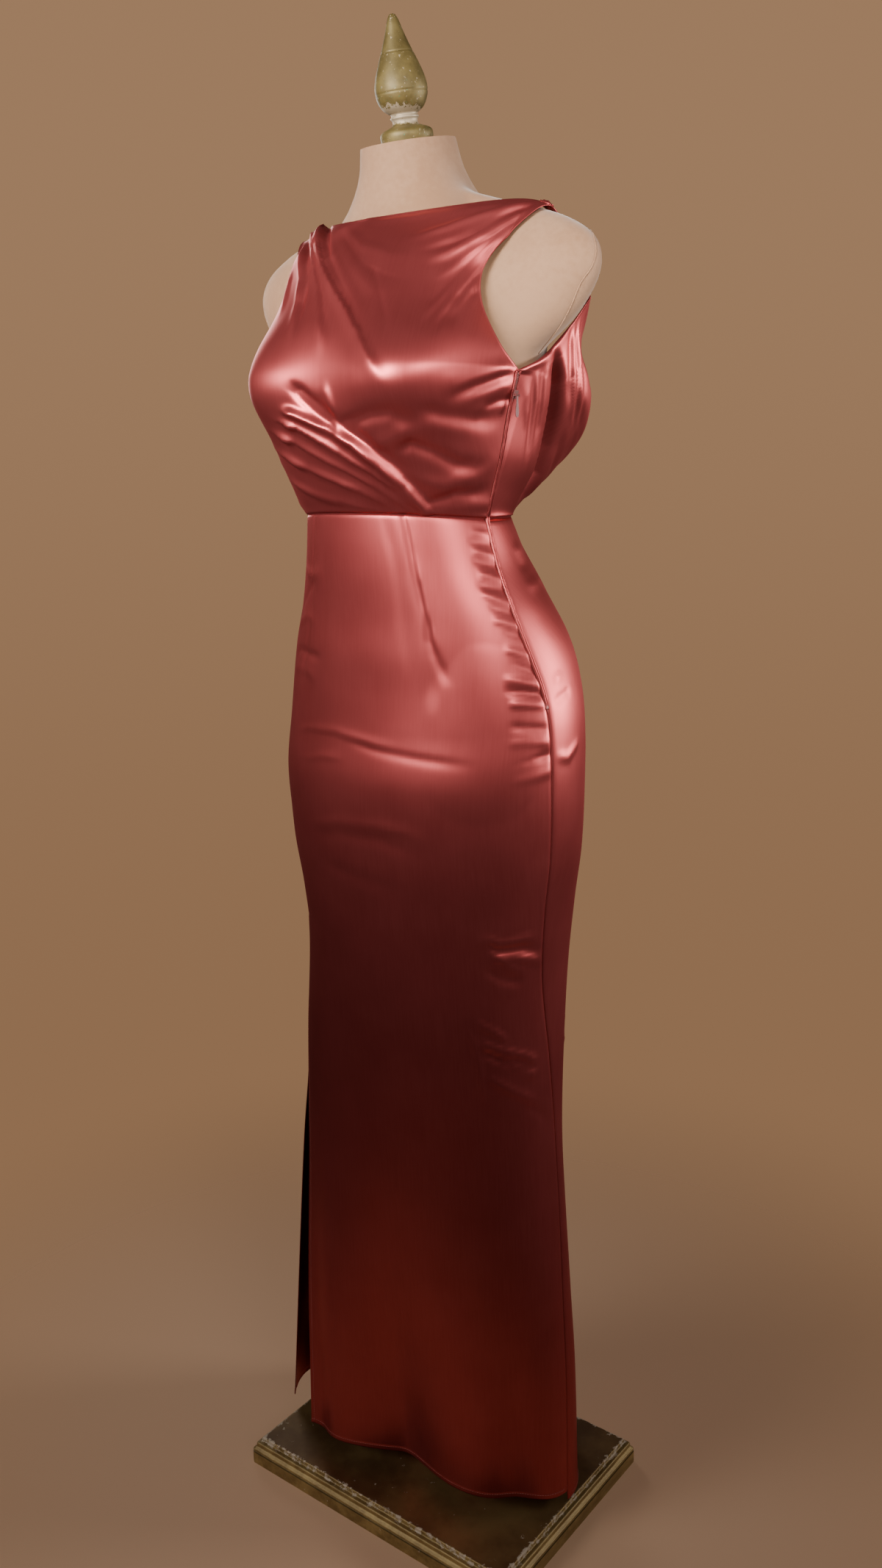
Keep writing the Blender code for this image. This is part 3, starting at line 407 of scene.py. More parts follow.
feed(Base_Color=drawn.between(0.3, 0.7).mixed((0.020, 0.020, 0.021), (0.045, 0.044, 0.043)),
     Roughness=0.30 + drawn * 0.2)


def repainted(node, finish):
    """A solid of the frame that keeps its own shape, under a new finish."""
    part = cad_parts[node]
    part.data.materials.clear()
    part.data.materials.append(finish)
    return part


pole = repainted("stand_pole", steel)

BOARD_HALF = (0.199, 0.146)
CORNER = 0.0035
ARRIS_IN, GROOVE_Z = 0.0105, 0.0162
# set in from the board's side and height, in millimetres, from the underside to the top panel
BOARD_MOULDING = ((6.0, 0.0), (0.8, 0.0), (0.0, 0.8), (0.0, 14.6), (0.5, 15.4), (1.7, 15.8), (1.9, 16.6),
                  (0.9, 17.3), (0.3, 18.4), (0.5, 20.0), (1.5, 21.2), (2.2, 21.6), (2.6, 22.4), (3.6, 23.2),
                  (4.0, 24.2), (4.0, 26.6), (4.6, 28.2), (6.0, 29.0), (8.6, 29.1), (9.6, 29.7), (10.0, 30.8),
                  (10.0, 33.2), (10.7, 34.5), (12.2, 35.0), (16.0, 35.0))
wood, feed, place, _ = finish_of("chipped_board_paint", Metallic=0.4, Specular_IOR_Level=0.5)
side_x = place.part("X")
side_y = place.part("Y")
height = place.part("Z")
to_side_x = BOARD_HALF[0] - side_x.size()
to_side_y = BOARD_HALF[1] - side_y.size()
to_side = to_side_x.smaller(to_side_y)
near_corner = 1 - (to_side_x + to_side_y).between(0.01, 0.10)
near_arris = 1 - (to_side - ARRIS_IN).size().between(0.0, 0.006)
upper = height.between(0.0255, 0.029)
flakes = place.noise(95.0, 6.0, 0.72)
chipped = (flakes + near_arris * upper * 0.155 + near_corner * upper * 0.05).between(0.665, 0.685)
brushed = place.scaled(1, 0.35, 1).noise(70.0, 5.0, 0.65)
grime = place.noise(11.0, 4.0, 0.6)
top = height.between(0.0342, 0.0348)
top_paint = grime.between(0.35, 0.7).mixed((0.115, 0.060, 0.024), (0.240, 0.150, 0.058))
patchy = (brushed * 0.6 + grime * 0.4).between(0.35, 0.68)
side_paint = patchy.mixed((0.190, 0.125, 0.042), (0.400, 0.290, 0.115))
# Painted shade: a near-black band is painted along the sunk channel of the moulding, where shade lies in the
# recess.
groove_shade = (1 - (height - GROOVE_Z).size().between(0.0, 0.0014)) * 0.6
side_paint = groove_shade.mixed(side_paint, (0.050, 0.032, 0.012))
feed(Base_Color=chipped.mixed(top.mixed(side_paint, top_paint), (0.60, 0.52, 0.41)),
     Roughness=0.34 + brushed * 0.25 + chipped * 0.25,
     Normal=(brushed * 0.25 - chipped).bump(0.5, 0.0007))


def board_ring(inset, level):
    """Rounded rectangle of the board, set in, as points in order."""
    half_x, half_y = BOARD_HALF[0] - inset, BOARD_HALF[1] - inset
    corner = max(CORNER - inset * 0.3, 0.0008)
    ring = []
    for quarter in range(4):
        sign_x, sign_y = ((1, 1), (-1, 1), (-1, -1), (1, -1))[quarter]
        centre = np.array((sign_x * (half_x - corner), sign_y * (half_y - corner)))
        for step in range(7):
            angle = math.pi / 2 * (quarter + step / 6)
            ring.append((*(centre + corner * np.array((math.cos(angle), math.sin(angle)))), level))
        following = ((-1, 1), (-1, -1), (1, -1), (1, 1))[quarter]
        end = np.array((following[0] * (half_x - corner), following[1] * (half_y - corner)))
        start = np.array(ring[-1][:2])
        direction = np.array((0, 1)) if quarter % 2 else np.array((1, 0))
        goal = np.where(direction, end, start)
        ring += [(*(start + (goal - start) * step / 30), level) for step in range(1, 30)]
    return ring


rings = smooth_line([(inset, 0, level) for inset, level in BOARD_MOULDING], 90) / 1000
rings[:, 2] = np.maximum(rings[:, 2], 0.0)
grid = np.array([board_ring(inset, level) for inset, _, level in rings])
board = capped(woven_mesh("foot_board_moulded", grid, around=True))
board.data.set_sharp_from_angle(angle=math.radians(40))
board.data.materials.append(wood)
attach(board, BODY)
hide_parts("foot_board", "foot_moulding", "foot_panel")


# ---------------------------------------------------------------- satin and the skirt
# Heavy rust satin cut straight, fitted by a dart on each side of the front, flared in soft flutes
# below the knee.  Front and back are sewn at the sides, on the wearer's right only down to the slit.
# z, middle x, half width, y of the widest place, y of the left and right seams, front y, back y
SKIRT_RINGS = (
    (1.196, -0.001, 0.1145, -0.018, -0.033, -0.028, -0.1130, 0.0725),
    (1.150, 0.001, 0.1275, -0.009, -0.033, -0.030, -0.1120, 0.0905),
    (1.100, 0.003, 0.1480, 0.003, -0.031, -0.030, -0.1100, 0.1190),
    (1.060, 0.002, 0.1635, 0.012, -0.025, -0.030, -0.1110, 0.1390),
    (1.020, 0.002, 0.1730, 0.015, -0.017, -0.029, -0.1120, 0.1460),
    (0.980, 0.003, 0.1775, 0.013, -0.015, -0.028, -0.1150, 0.1475),
    (0.920, 0.002, 0.1810, 0.009, -0.017, -0.028, -0.1220, 0.1460),
    (0.840, 0.002, 0.1780, 0.009, -0.016, -0.028, -0.1205, 0.1425),
    (0.780, 0.003, 0.1690, 0.009, -0.015, -0.028, -0.1160, 0.1370),
    (0.700, 0.003, 0.1610, 0.009, -0.010, -0.028, -0.1105, 0.1300),
    (0.600, 0.004, 0.1570, 0.008, 0.006, -0.028, -0.1050, 0.1200),
    (0.500, 0.003, 0.1570, 0.008, 0.020, -0.028, -0.1000, 0.1150),
    (0.420, 0.004, 0.1600, 0.008, 0.022, -0.028, -0.0980, 0.1140),
    (0.300, 0.005, 0.1700, 0.006, 0.012, -0.028, -0.0955, 0.1140),
    (0.200, 0.006, 0.1790, 0.003, 0.003, -0.028, -0.0910, 0.1160),
    (0.045, 0.008, 0.1850, -0.004, -0.006, -0.028, -0.0860, 0.1220),
)
# z, x and y of the front's free edge, x and y of the back's free edge
SLIT_ROWS = (
    (0.736, -0.1541, -0.0280, -0.1541, -0.0280),
    (0.700, -0.1535, -0.0330, -0.1560, -0.0245),
    (0.600, -0.1570, -0.0440, -0.1700, -0.0240),
    (0.500, -0.1530, -0.0550, -0.1775, -0.0300),
    (0.420, -0.1490, -0.0630, -0.1835, -0.0360),
    (0.250, -0.1420, -0.0830, -0.1910, -0.0480),
    (0.045, -0.1340, -0.1000, -0.1990, -0.0620),
)
SLIT_TOP_Z, WAIST_Z, WAIST_ARCH, WAIST_GAP = 0.736, 1.196, 0.0095, 0.0002
FRONT_HEM_Z, BACK_HEM_Z = 0.060, 0.047
EASE = 0.0030
CLOTH_OVER_INNER = 0.0014
SATIN_THICK = 0.0010
SEAM_SINK, WAIST_LEDGE = 0.0011, 0.0006
# place across, width, height, z where it starts
FRONT_FLUTES = ((-0.55, 0.22, 0.016, 0.55), (-0.02, 0.20, -0.018, 0.50), (0.34, 0.17, 0.004, 0.45),
                (0.62, 0.14, -0.010, 0.42))
BACK_FLUTES = ((-0.70, 0.16, -0.012, 0.45), (-0.38, 0.18, 0.016, 0.55), (-0.04, 0.17, -0.014, 0.50),
               (0.26, 0.16, 0.012, 0.58), (0.58, 0.20, -0.018, 0.45))

satin, feed, place, weave = finish_of("satin_cloth", Metallic=0.82, Anisotropic=0.5, Specular_IOR_Level=0.2,
                                      Specular_Tint=(1.0, 0.56, 0.54))
warp = weave.scaled(2600, 55, 1).noise(1.0, 2.0)
slubs = weave.scaled(520, 16, 1).noise(1.0, 3.0)
cloud = place.noise(17.0, 3.0)
tone = warp * 0.25 + slubs * 0.25 + weave.noise(1500.0, 2.0) * 0.2 + cloud * 0.3
feed(Base_Color=tone.between(0.32, 0.68).mixed((0.298, 0.050, 0.051), (0.362, 0.066, 0.067)),
     Roughness=0.345 + warp * 0.012 + slubs * 0.018 + cloud * 0.04,
     Normal=(warp * 0.5 + slubs).bump(0.025, 0.0003))


def section_between(u, right, left, middle, turn, across_power=0.97, depth_power=0.97, drop_power=1.0,
                    crown=0.0):
    """Points at u (-1 right edge, 0 middle, 1 left edge) of sections through three points each."""
    swing = u * turn
    across = np.abs(np.sin(swing) / np.sin(turn))
    across = np.where(across_power <= 1, across ** np.minimum(across_power, 1.0),
                      across + (across_power - 1) * (across**3 - across))
    rise = np.maximum((np.cos(swing) - np.cos(turn)) / (1 - np.cos(turn)), 0.0)
    edge = [np.where(u > 0, a, b) for a, b in zip(left, right)]
    return np.stack([middle[0] + (edge[0] - middle[0]) * across,
                     edge[1] + (middle[1] - edge[1]) * rise**depth_power,
                     edge[2] + (middle[2] - edge[2]) * rise**drop_power
                     + crown * np.sin(np.pi * u * u)], axis=-1)


def level_outward(points, depth_share):
    outward = points * (1.0, depth_share, 0.0)
    return outward / np.linalg.norm(outward, axis=-1, keepdims=True)


def skirt_surface(u, z, is_front):
    """Inner face of the skirt's front or back, u from the wearer's right edge to the left one."""
    shift, half, widest, left_y, right_y, front, back = blended_rows(SKIRT_RINGS, z)
    depth = front if is_front else back
    reach = depth - widest
    left_x = shift + half * np.sqrt(1 - ((left_y - widest) / reach) ** 2)
    right_x = shift - half * np.sqrt(1 - ((right_y - widest) / reach) ** 2)
    slit = blended_rows(SLIT_ROWS, z)
    below = z < SLIT_TOP_Z
    right_x = np.where(below, slit[0 if is_front else 2], right_x)
    right_y = np.where(below, slit[1 if is_front else 3], right_y)
    share = (np.where(u > 0, left_y, right_y) - widest) / reach
    turn = np.arccos(np.clip(share, -0.6, 0.6))
    points = section_between(u, (right_x, right_y, z), (left_x, left_y, z), (shift, depth, z), turn)
    lift = sum(height * (1 - eased(z, BACK_HEM_Z, start)) * np.exp(-(((u - across) / width) ** 2))
               for across, width, height, start in (FRONT_FLUTES if is_front else BACK_FLUTES))
    if is_front:
        points[..., 2] += WAIST_ARCH * (1 - u * u) * eased(z, WAIST_Z - 0.12, WAIST_Z)
    points = points + level_outward(points, 1.4) * (lift * (1 - np.abs(u) ** 6))[..., None]
    return np.where((z > FORM_RINGS[0][0])[..., None], kept_clear(points, EASE), points)


def outward_normals(grid, flip):
    """Unit normals at a grid's points, from the quads that are there."""
    a, b, c, d = grid[:-1, :-1], grid[:-1, 1:], grid[1:, 1:], grid[1:, :-1]
    face = np.cross(c - a, d - b) * (-1.0 if flip else 1.0)
    face = np.nan_to_num(face / np.linalg.norm(face, axis=-1, keepdims=True))
    total = np.zeros_like(grid)
    for rows in (slice(0, -1), slice(1, None)):
        for columns in (slice(0, -1), slice(1, None)):
            total[rows, columns] += face
    return total / np.maximum(np.linalg.norm(total, axis=-1, keepdims=True), 1e-9)


def crease_heights(points, normals, creases, mirrored=False):
    """Soft ridges (+) and troughs (-) along lines: height, widths on either side, points, all in mm.

    Each rises and dies away along its line and wanders a little, as pressed or pulled cloth does.
    """
    total = np.zeros(points.shape[:-1])
    for number, (height, width_a, width_b, path) in enumerate(creases):
        path = np.array(path) * ((-0.001 if mirrored else 0.001), 0.001, 0.001)
        reach = 0.0035 * max(width_a, width_b)
        close = np.all((points > path.min(axis=0) - reach) & (points < path.max(axis=0) + reach), axis=-1)
        spots, ways = points[close], normals[close]
        steps = np.diff(path, axis=0)
        lengths = np.linalg.norm(steps, axis=1)
        whole = lengths.sum()
        nearest = np.full(len(spots), np.inf)
        along = np.zeros_like(nearest)
        aside = np.zeros_like(nearest)
        for index, (start, step, length) in enumerate(zip(path, steps, lengths)):
            offset = spots - start
            t = np.clip((offset @ step) / length**2, 0, 1)
            away = offset - t[..., None] * step
            distance = np.linalg.norm(away, axis=-1)
            closer = distance < nearest
            signed = np.sign(np.sum(np.cross(ways, step) * away, axis=-1))
            nearest = np.where(closer, distance, nearest)
            along = np.where(closer, (lengths[:index].sum() + t * length) / whole, along)
            aside = np.where(closer, signed * distance, aside)
        aside = aside + 0.0003 * np.sin(along * whole * 60 + number * 1.7)
        if mirrored:
            aside = -aside
        width = np.where(aside > 0, width_a, width_b) * 0.001 * (0.8 + 0.4 * along)
        ends = eased(along, 0.0, 0.22) * (1 - eased(along, 0.68, 1.0))
        total[close] += height * 0.001 * np.exp(-((aside / width) ** 2)) * ends
    return total


def sheet_uv(grid):
    """Lengths along and up a grid of points, in metres, from its middle column."""
    along = np.nancumsum(np.nan_to_num(np.linalg.norm(np.diff(grid, axis=1), axis=-1)), axis=1)
    along = np.concatenate([np.zeros_like(along[:, :1]), along], axis=1)
    middle = grid.shape[1] // 2
    along -= along[:, middle:middle + 1]
    up = np.cumsum(np.linalg.norm(np.diff(grid[:, middle], axis=0), axis=-1))
    up = np.concatenate([[0.0], up])[:, None] + 0.0 * along
    return np.stack([along, up], axis=-1)


def cloth_piece(name, grid, node, flip):
    """A thin satin sheet over a grid of its outer face."""
    piece = woven_mesh(name, grid, flip=flip, uv=sheet_uv(grid))
    wall = piece.modifiers.new("thickness", "SOLIDIFY")
    wall.thickness = SATIN_THICK
    wall.offset = -1.0
    wall.use_even_offset = False
    piece.data.materials.append(satin)
    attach(piece, BODY)
    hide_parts(node)


def graded(count, *stops):
    """count values through (share, value) stops, spaced unevenly as the stops say."""
    shares, values = zip(*stops)
    return np.interp(np.linspace(0, 1, count), shares, values)


LEFT_PUCKERS = tuple(
    (height, wide, wide * 0.8, path) for height, wide, path in (
        (0.9, 3.4, ((104, -58, 1185), (119, -36, 1181), (125, -22, 1174))),
        (-0.8, 3.0, ((106, -62, 1176), (120, -38, 1171), (127, -22, 1165))),
        (1.1, 3.6, ((108, -60, 1166), (123, -38, 1160), (130, -22, 1153))),
        (-0.9, 3.2, ((110, -62, 1157), (126, -38, 1149), (133, -24, 1142))),
        (1.2, 4.0, ((116, -60, 1145), (131, -36, 1137), (138, -24, 1130))),
        (-0.9, 3.4, ((116, -62, 1133), (134, -38, 1126), (141, -25, 1119))),
        (1.1, 4.2, ((120, -62, 1124), (139, -38, 1114), (146, -25, 1107))),
        (-0.9, 3.6, ((128, -58, 1111), (143, -36, 1103), (150, -24, 1096))),
        (1.1, 4.4, ((130, -56, 1098), (148, -32, 1090), (155, -22, 1083))),
        (-0.8, 4.0, ((140, -48, 1085), (155, -28, 1077), (160, -18, 1070))),
        (1.2, 4.8, ((142, -52, 1068), (160, -28, 1059), (166, -17, 1050))),
        (-1.1, 4.2, ((144, -48, 1053), (165, -24, 1043), (170, -13, 1034))),
        (1.4, 4.6, ((142, -56, 1038), (167, -26, 1030), (173, -12, 1023))),
        (-1.5, 3.6, ((146, -58, 1026), (168, -25, 1020), (175, -12, 1014))),
        (1.5, 4.4, ((150, -56, 1012), (171, -24, 1009), (178, -12, 1005))),
        (-1.2, 4.6, ((152, -58, 990), (174, -24, 984), (181, -10, 981))),
        (1.0, 5.2, ((150, -60, 972), (175, -24, 970), (182, -8, 968))),
        (-1.3, 4.2, ((152, -58, 947), (176, -24, 956), (183, -6, 958))),
        (0.8, 6.0, ((154, -60, 930), (176, -26, 938), (183, -6, 942)))))
FRONT_SKIRT_CREASES = LEFT_PUCKERS + (
    (-1.5, 2.6, 3.4, ((54, -102, 1238), (59, -101, 1204), (64, -99, 1175), (70, -97, 1143),
      (77, -96, 1111), (83, -96, 1081), (85, -95, 1070))),
    (0.9, 7.0, 3.5, ((66, -101, 1170), (80, -97, 1120), (88, -94, 1081), (94, -93, 1062),
      (103, -90, 1036))),
    (-1.6, 5.0, 3.0, ((79, -97, 1110), (84, -96, 1078), (92, -94, 1058), (104, -90, 1028))),
    (-0.8, 5.0, 6.0, ((81, -97, 1100), (85, -97, 1066), (88, -97, 1030), (88, -98, 1000))),
    (-0.7, 9.0, 5.0, ((36, -108, 1220), (44, -108, 1184), (52, -105, 1143), (58, -104, 1097),
      (62, -105, 1050), (64, -106, 1010))),
    (-1.3, 2.6, 3.4, ((-56, -102, 1238), (-61, -101, 1204), (-67, -99, 1170), (-73, -97, 1135),
      (-82, -96, 1085), (-84, -95, 1072))),
    (-1.3, 4.0, 5.5, ((-80, -97, 1110), (-84, -96, 1078), (-92, -94, 1050), (-98, -92, 1020))),
    (1.5, 5.0, 7.0, ((-104, -80, 1152), (-90, -87, 1144), (-69, -97, 1139), (-48, -105, 1150))),
    (-1.5, 5.0, 4.0, ((-112, -72, 1100), (-98, -84, 1111), (-80, -94, 1124), (-60, -101, 1142))),
    (1.4, 6.0, 4.0, ((-116, -72, 1078), (-104, -82, 1088), (-88, -92, 1094), (-66, -100, 1090))),
    (-1.5, 4.5, 5.0, ((-122, -72, 1048), (-107, -83, 1056), (-80, -97, 1054), (-50, -106, 1052))),
    (1.0, 7.0, 5.0, ((-130, -70, 1028), (-110, -84, 1036), (-84, -98, 1034), (-60, -106, 1026))),
    (0.7, 6.0, 2.8, ((-118, -90, 964), (-75, -106, 973), (-31, -115, 976), (22, -117, 967),
      (60, -111, 962))),
    (-0.6, 3.6, 6.0, ((-20, -117, 972), (22, -117, 964), (76, -108, 957), (121, -90, 952),
      (140, -80, 952))),
    (0.5, 5.0, 2.6, ((-112, -100, 936), (-80, -110, 940), (-53, -115, 946), (-10, -120, 948))),
    (0.8, 8.0, 3.0, ((-90, -108, 862), (-50, -118, 871), (-23, -122, 877), (23, -123, 879),
      (62, -116, 876), (98, -105, 862))),
    (-0.6, 4.0, 8.0, ((-78, -112, 852), (-23, -122, 866), (30, -122, 868), (90, -108, 850))),
    (-0.6, 8.0, 10.0, ((-60, -115, 826), (0, -121, 820), (60, -113, 808))),
    (1.5, 4.0, 3.0, ((124, -77, 765), (132, -73, 763), (144, -60, 754), (158, -38, 757), (167, -18, 755))),
    (-2.2, 4.0, 6.0, ((126, -76, 758), (140, -63, 746), (156, -38, 746), (167, -12, 738))),
    (1.9, 5.0, 3.5, ((134, -70, 741), (150, -48, 737), (160, -28, 731), (168, -8, 722))),
    (1.7, 4.0, 3.5, ((124, -78, 766), (130, -74, 756), (140, -63, 739), (150, -49, 726), (158, -32, 716))),
    (-1.5, 5.0, 5.0, ((128, -74, 730), (142, -58, 714), (158, -30, 704))),
    (2.0, 3.0, 2.4, ((118, -75, 666), (126, -69, 658), (136, -59, 649), (146, -47, 636))),
    (2.2, 3.2, 2.4, ((114, -77, 640), (123, -71, 637), (139, -55, 629), (151, -36, 620), (163, -8, 607))),
    (-2.2, 4.0, 3.0, ((120, -73, 630), (136, -58, 620), (150, -37, 611), (161, -14, 600))),
    (2.2, 3.0, 2.6, ((132, -62, 627), (139, -55, 621), (148, -41, 611), (155, -27, 606), (162, -10, 613))),
    (1.9, 2.6, 2.0, ((150, -40, 598), (154, -30, 595), (157, -21, 594), (162, -8, 597))),
    (1.5, 5.0, 3.0, ((122, -68, 602), (130, -62, 594), (148, -40, 575), (161, -8, 553))),
    (1.4, 3.0, 3.0, ((110, -81, 668), (112, -80, 655), (119, -73, 630), (122, -69, 588), (124, -66, 560))),
    (-0.8, 6.0, 6.0, ((152, -30, 560), (160, -8, 540), (163, 6, 520))),
)

stretch = graded(156, (0.0, -1.0), (0.14, -0.93), (0.80, 0.66), (1.0, 1.0))


HEM_TURN_THICK, HEM_TURN_TOP = 0.0005, (0.0058, 0.0070)
HEM_EDGE_IN, HEM_EDGE_TOP = 0.0004, 0.0012


def hemmed(grid_z, hem_z):
    """Extra thickness of a turned hem and its edge."""
    above = grid_z - hem_z
    turned = HEM_TURN_THICK * (1 - eased(above, *HEM_TURN_TOP))
    return turned - HEM_EDGE_IN * (1 - eased(above, 0.0, HEM_EDGE_TOP))


def skirt_piece(name, node, is_front, levels, creases):
    u, z = np.meshgrid(stretch, levels)
    inner = skirt_surface(u, z, is_front)
    normals = outward_normals(inner, not is_front)
    height = crease_heights(inner, normals, creases)
    edge_x = np.abs(u)
    seam_side = np.where(u < 0, eased(z, SLIT_TOP_Z - 0.01, SLIT_TOP_Z + 0.01), 1.0)
    height = height * (1 - np.where(seam_side > 0.5, eased(edge_x, 0.985, 1.0), 0.0) * 0.5)
    height -= SEAM_SINK * eased(edge_x, 0.982, 1.0) * seam_side
    height -= WAIST_LEDGE * eased(z, WAIST_Z - 0.004, WAIST_Z - 0.0008)
    free_edge = (1 - seam_side) * np.where(u < 0, 1.0, 0.0)
    height += 0.0004 * free_edge * eased(edge_x, 0.955, 0.960)
    height += hemmed(z, levels[0])
    outer = inner + normals * (CLOTH_OVER_INNER + height)[..., None]
    cloth_piece(name, outer, node, not is_front)
    return outer


front_levels = graded(250, (0.0, FRONT_HEM_Z), (0.035, FRONT_HEM_Z + 0.010), (0.28, 0.52), (0.42, 0.70),
                      (0.60, 0.90), (1.0, WAIST_Z - WAIST_GAP))
skirt_front_face = skirt_piece("skirt_front_satin", "skirt_front", True, front_levels,
                               FRONT_SKIRT_CREASES)
back_levels = graded(220, (0.0, BACK_HEM_Z), (0.04, BACK_HEM_Z + 0.010), (0.30, 0.52), (0.45, 0.70),
                     (0.62, 0.90), (1.0, WAIST_Z - WAIST_GAP))
BACK_SKIRT_CREASES = (
    (-0.8, 1.6, 2.2, ((58, 74, 1226), (60, 80, 1190), (66, 96, 1140), (74, 112, 1090), (78, 118, 1072))),
    (-0.8, 1.6, 2.2, ((-58, 74, 1226), (-60, 80, 1190), (-66, 96, 1140), (-74, 112, 1090),
      (-78, 118, 1072))),
    (-1.3, 5.0, 4.0, ((72, 108, 1100), (79, 122, 1070), (90, 128, 1040), (98, 128, 1010))),
    (-1.3, 5.0, 4.0, ((-72, 108, 1100), (-79, 122, 1070), (-86, 130, 1035), (-90, 132, 1000))),
    (1.0, 5.0, 3.6, ((160, 22, 1040), (172, 3, 1032), (170, -4, 1031))),
    (-1.0, 5.0, 4.0, ((176, 26, 1020), (176, 1, 1012), (174, -8, 1006))),
    (1.2, 5.0, 4.0, ((176, 36, 966), (183, 8, 950), (180, -14, 955))),
    (1.3, 6.0, 4.5, ((118, 50, 1176), (122, 20, 1168), (124, -8, 1160))),
    (-1.1, 5.0, 4.5, ((122, 50, 1158), (128, 18, 1150), (131, -8, 1144))),
    (1.2, 6.0, 4.5, ((126, 54, 1138), (136, 18, 1130), (139, -8, 1125))),
    (1.3, 6.0, 4.5, ((-118, 46, 1178), (-122, 16, 1166), (-124, -12, 1162))),
    (-1.1, 5.0, 4.5, ((-122, 52, 1156), (-128, 20, 1146), (-131, -10, 1140))),
    (1.1, 6.0, 4.5, ((-126, 56, 1134), (-136, 16, 1128), (-139, -10, 1118))),
    (-1.0, 6.0, 5.0, ((-140, 60, 1096), (-152, 24, 1086), (-155, -8, 1082))),
    (1.2, 7.0, 3.5, ((-60, 128, 1028), (-20, 140, 1012), (24, 142, 1008), (66, 130, 1020))),
    (-0.9, 5.0, 8.0, ((-90, 118, 880), (-36, 138, 862), (16, 143, 858), (80, 124, 872))),
    (0.8, 8.0, 4.0, ((-100, 108, 846), (-30, 138, 832), (40, 138, 836), (96, 112, 850))),
    (0.9, 8.0, 5.0, ((-70, 122, 800), (0, 138, 786), (72, 120, 796))),
    (1.1, 3.2, 2.6, ((-150, 40, 700), (-130, 72, 690), (-110, 92, 694))),
    (-1.0, 4.0, 3.6, ((-152, 36, 686), (-136, 66, 672), (-112, 92, 676))),
    (1.0, 3.0, 2.6, ((156, 36, 640), (140, 62, 628), (122, 82, 632))),
    (1.1, 3.2, 2.6, ((158, 30, 618), (144, 58, 604), (126, 80, 600))),
)
skirt_back_face = skirt_piece("skirt_back_satin", "skirt_back", False, back_levels,
                              BACK_SKIRT_CREASES)


# ---------------------------------------------------------------- bodice front
# One bias-draped satin panel.  Pleats from the wearer's right shoulder and right side fall across
# it, the lowest ones caught in the waist seam; small pulls fan out from the left armhole.
# up, x, y, z of the edges on the wearer's left
SIDE_SEAM = ((0.00, 0.1150, -0.033, 1.1965), (0.10, 0.1220, -0.034, 1.225), (0.20, 0.1325, -0.035, 1.260),
             (0.30, 0.1410, -0.036, 1.300), (0.40, 0.1520, -0.036, 1.339))
FRONT_ARMHOLE = ((0.40, 0.1520, -0.0360, 1.339), (0.48, 0.1440, -0.0560, 1.364), (0.57, 0.1300, -0.0620, 1.400),
                 (0.66, 0.1270, -0.0540, 1.432), (0.77, 0.1400, -0.0330, 1.461), (0.92, 0.1610, 0.0120, 1.4900),
                 (1.00, 0.1480, 0.0180, 1.4965))
# up, y and z on the centre line, turn of the section, its three powers and its arch
FRONT_MIDDLE = (
    (0.00, -0.1145, 1.1985, 87, 0.95, 0.95, 1.0, 0.000),
    (0.10, -0.1250, 1.2310, 87, 0.93, 0.93, 1.0, 0.000),
    (0.20, -0.1380, 1.2670, 86, 0.90, 0.90, 1.0, 0.000),
    (0.30, -0.1470, 1.3070, 84, 0.86, 0.88, 1.0, 0.000),
    (0.40, -0.1490, 1.3440, 82, 0.86, 0.88, 1.0, 0.000),
    (0.48, -0.1420, 1.3760, 76, 0.88, 0.90, 1.0, 0.000),
    (0.57, -0.1260, 1.4110, 71, 0.92, 0.95, 1.0, 0.000),
    (0.66, -0.1120, 1.4370, 69, 0.95, 1.00, 1.0, 0.000),
    (0.77, -0.0960, 1.4600, 71, 1.00, 1.10, 1.0, 0.003),
    (0.92, -0.0780, 1.4810, 78, 1.00, 1.45, 1.0, 0.006),
    (1.00, -0.0700, 1.4890, 80, 1.00, 1.60, 1.0, 0.006),
)
SEAM_BAND, SEAM_BAND_UP = 0.0035, 0.02
WAIST_SHIFT_X = -0.001
RIGHT_STRAP_DRAWN_IN = 0.010
CLOTH_BUST_LIFT = 0.020


def bodice_surface(u, up, edge_rows, middle_rows, drawn_in):
    side_x, side_y, side_z = blended_rows(SIDE_SEAM, up)
    arm_x, arm_y, arm_z = blended_rows(edge_rows, up)
    on_seam = up <= SIDE_SEAM[-1][0]
    x, y, z = (np.where(on_seam, a, b) for a, b in ((side_x, arm_x), (side_y, arm_y), (side_z, arm_z)))
    middle_y, middle_z, turn, *powers = blended_rows(middle_rows, up)
    shift = WAIST_SHIFT_X * (1 - eased(up, 0.0, 0.35))
    right = (shift - (x - RIGHT_STRAP_DRAWN_IN * drawn_in), y, z)
    left = (shift + x, y, z)
    return section_between(u, right, left, (shift, middle_y, middle_z), np.radians(turn), *powers)


def sewn_to_skirt(points, u, up, is_front):
    seam = skirt_surface(u, np.full_like(u, WAIST_Z - WAIST_GAP), is_front)
    seam[..., 2] += WAIST_GAP + SEAM_BAND * np.minimum(up / SEAM_BAND_UP, 1.0)
    share = eased(up, SEAM_BAND_UP, 0.11)[..., None]
    return seam + (points - seam) * share


def front_bodice(u, up):
    points = bodice_surface(u, up, FRONT_ARMHOLE, FRONT_MIDDLE, eased(up, 0.60, 0.95))
    lift = bust_swell(points[..., 0], points[..., 2], CLOTH_BUST_LIFT)
    points = kept_clear(points + level_outward(points, 1.3) * lift[..., None], EASE)
    return sewn_to_skirt(points, u, up, True)


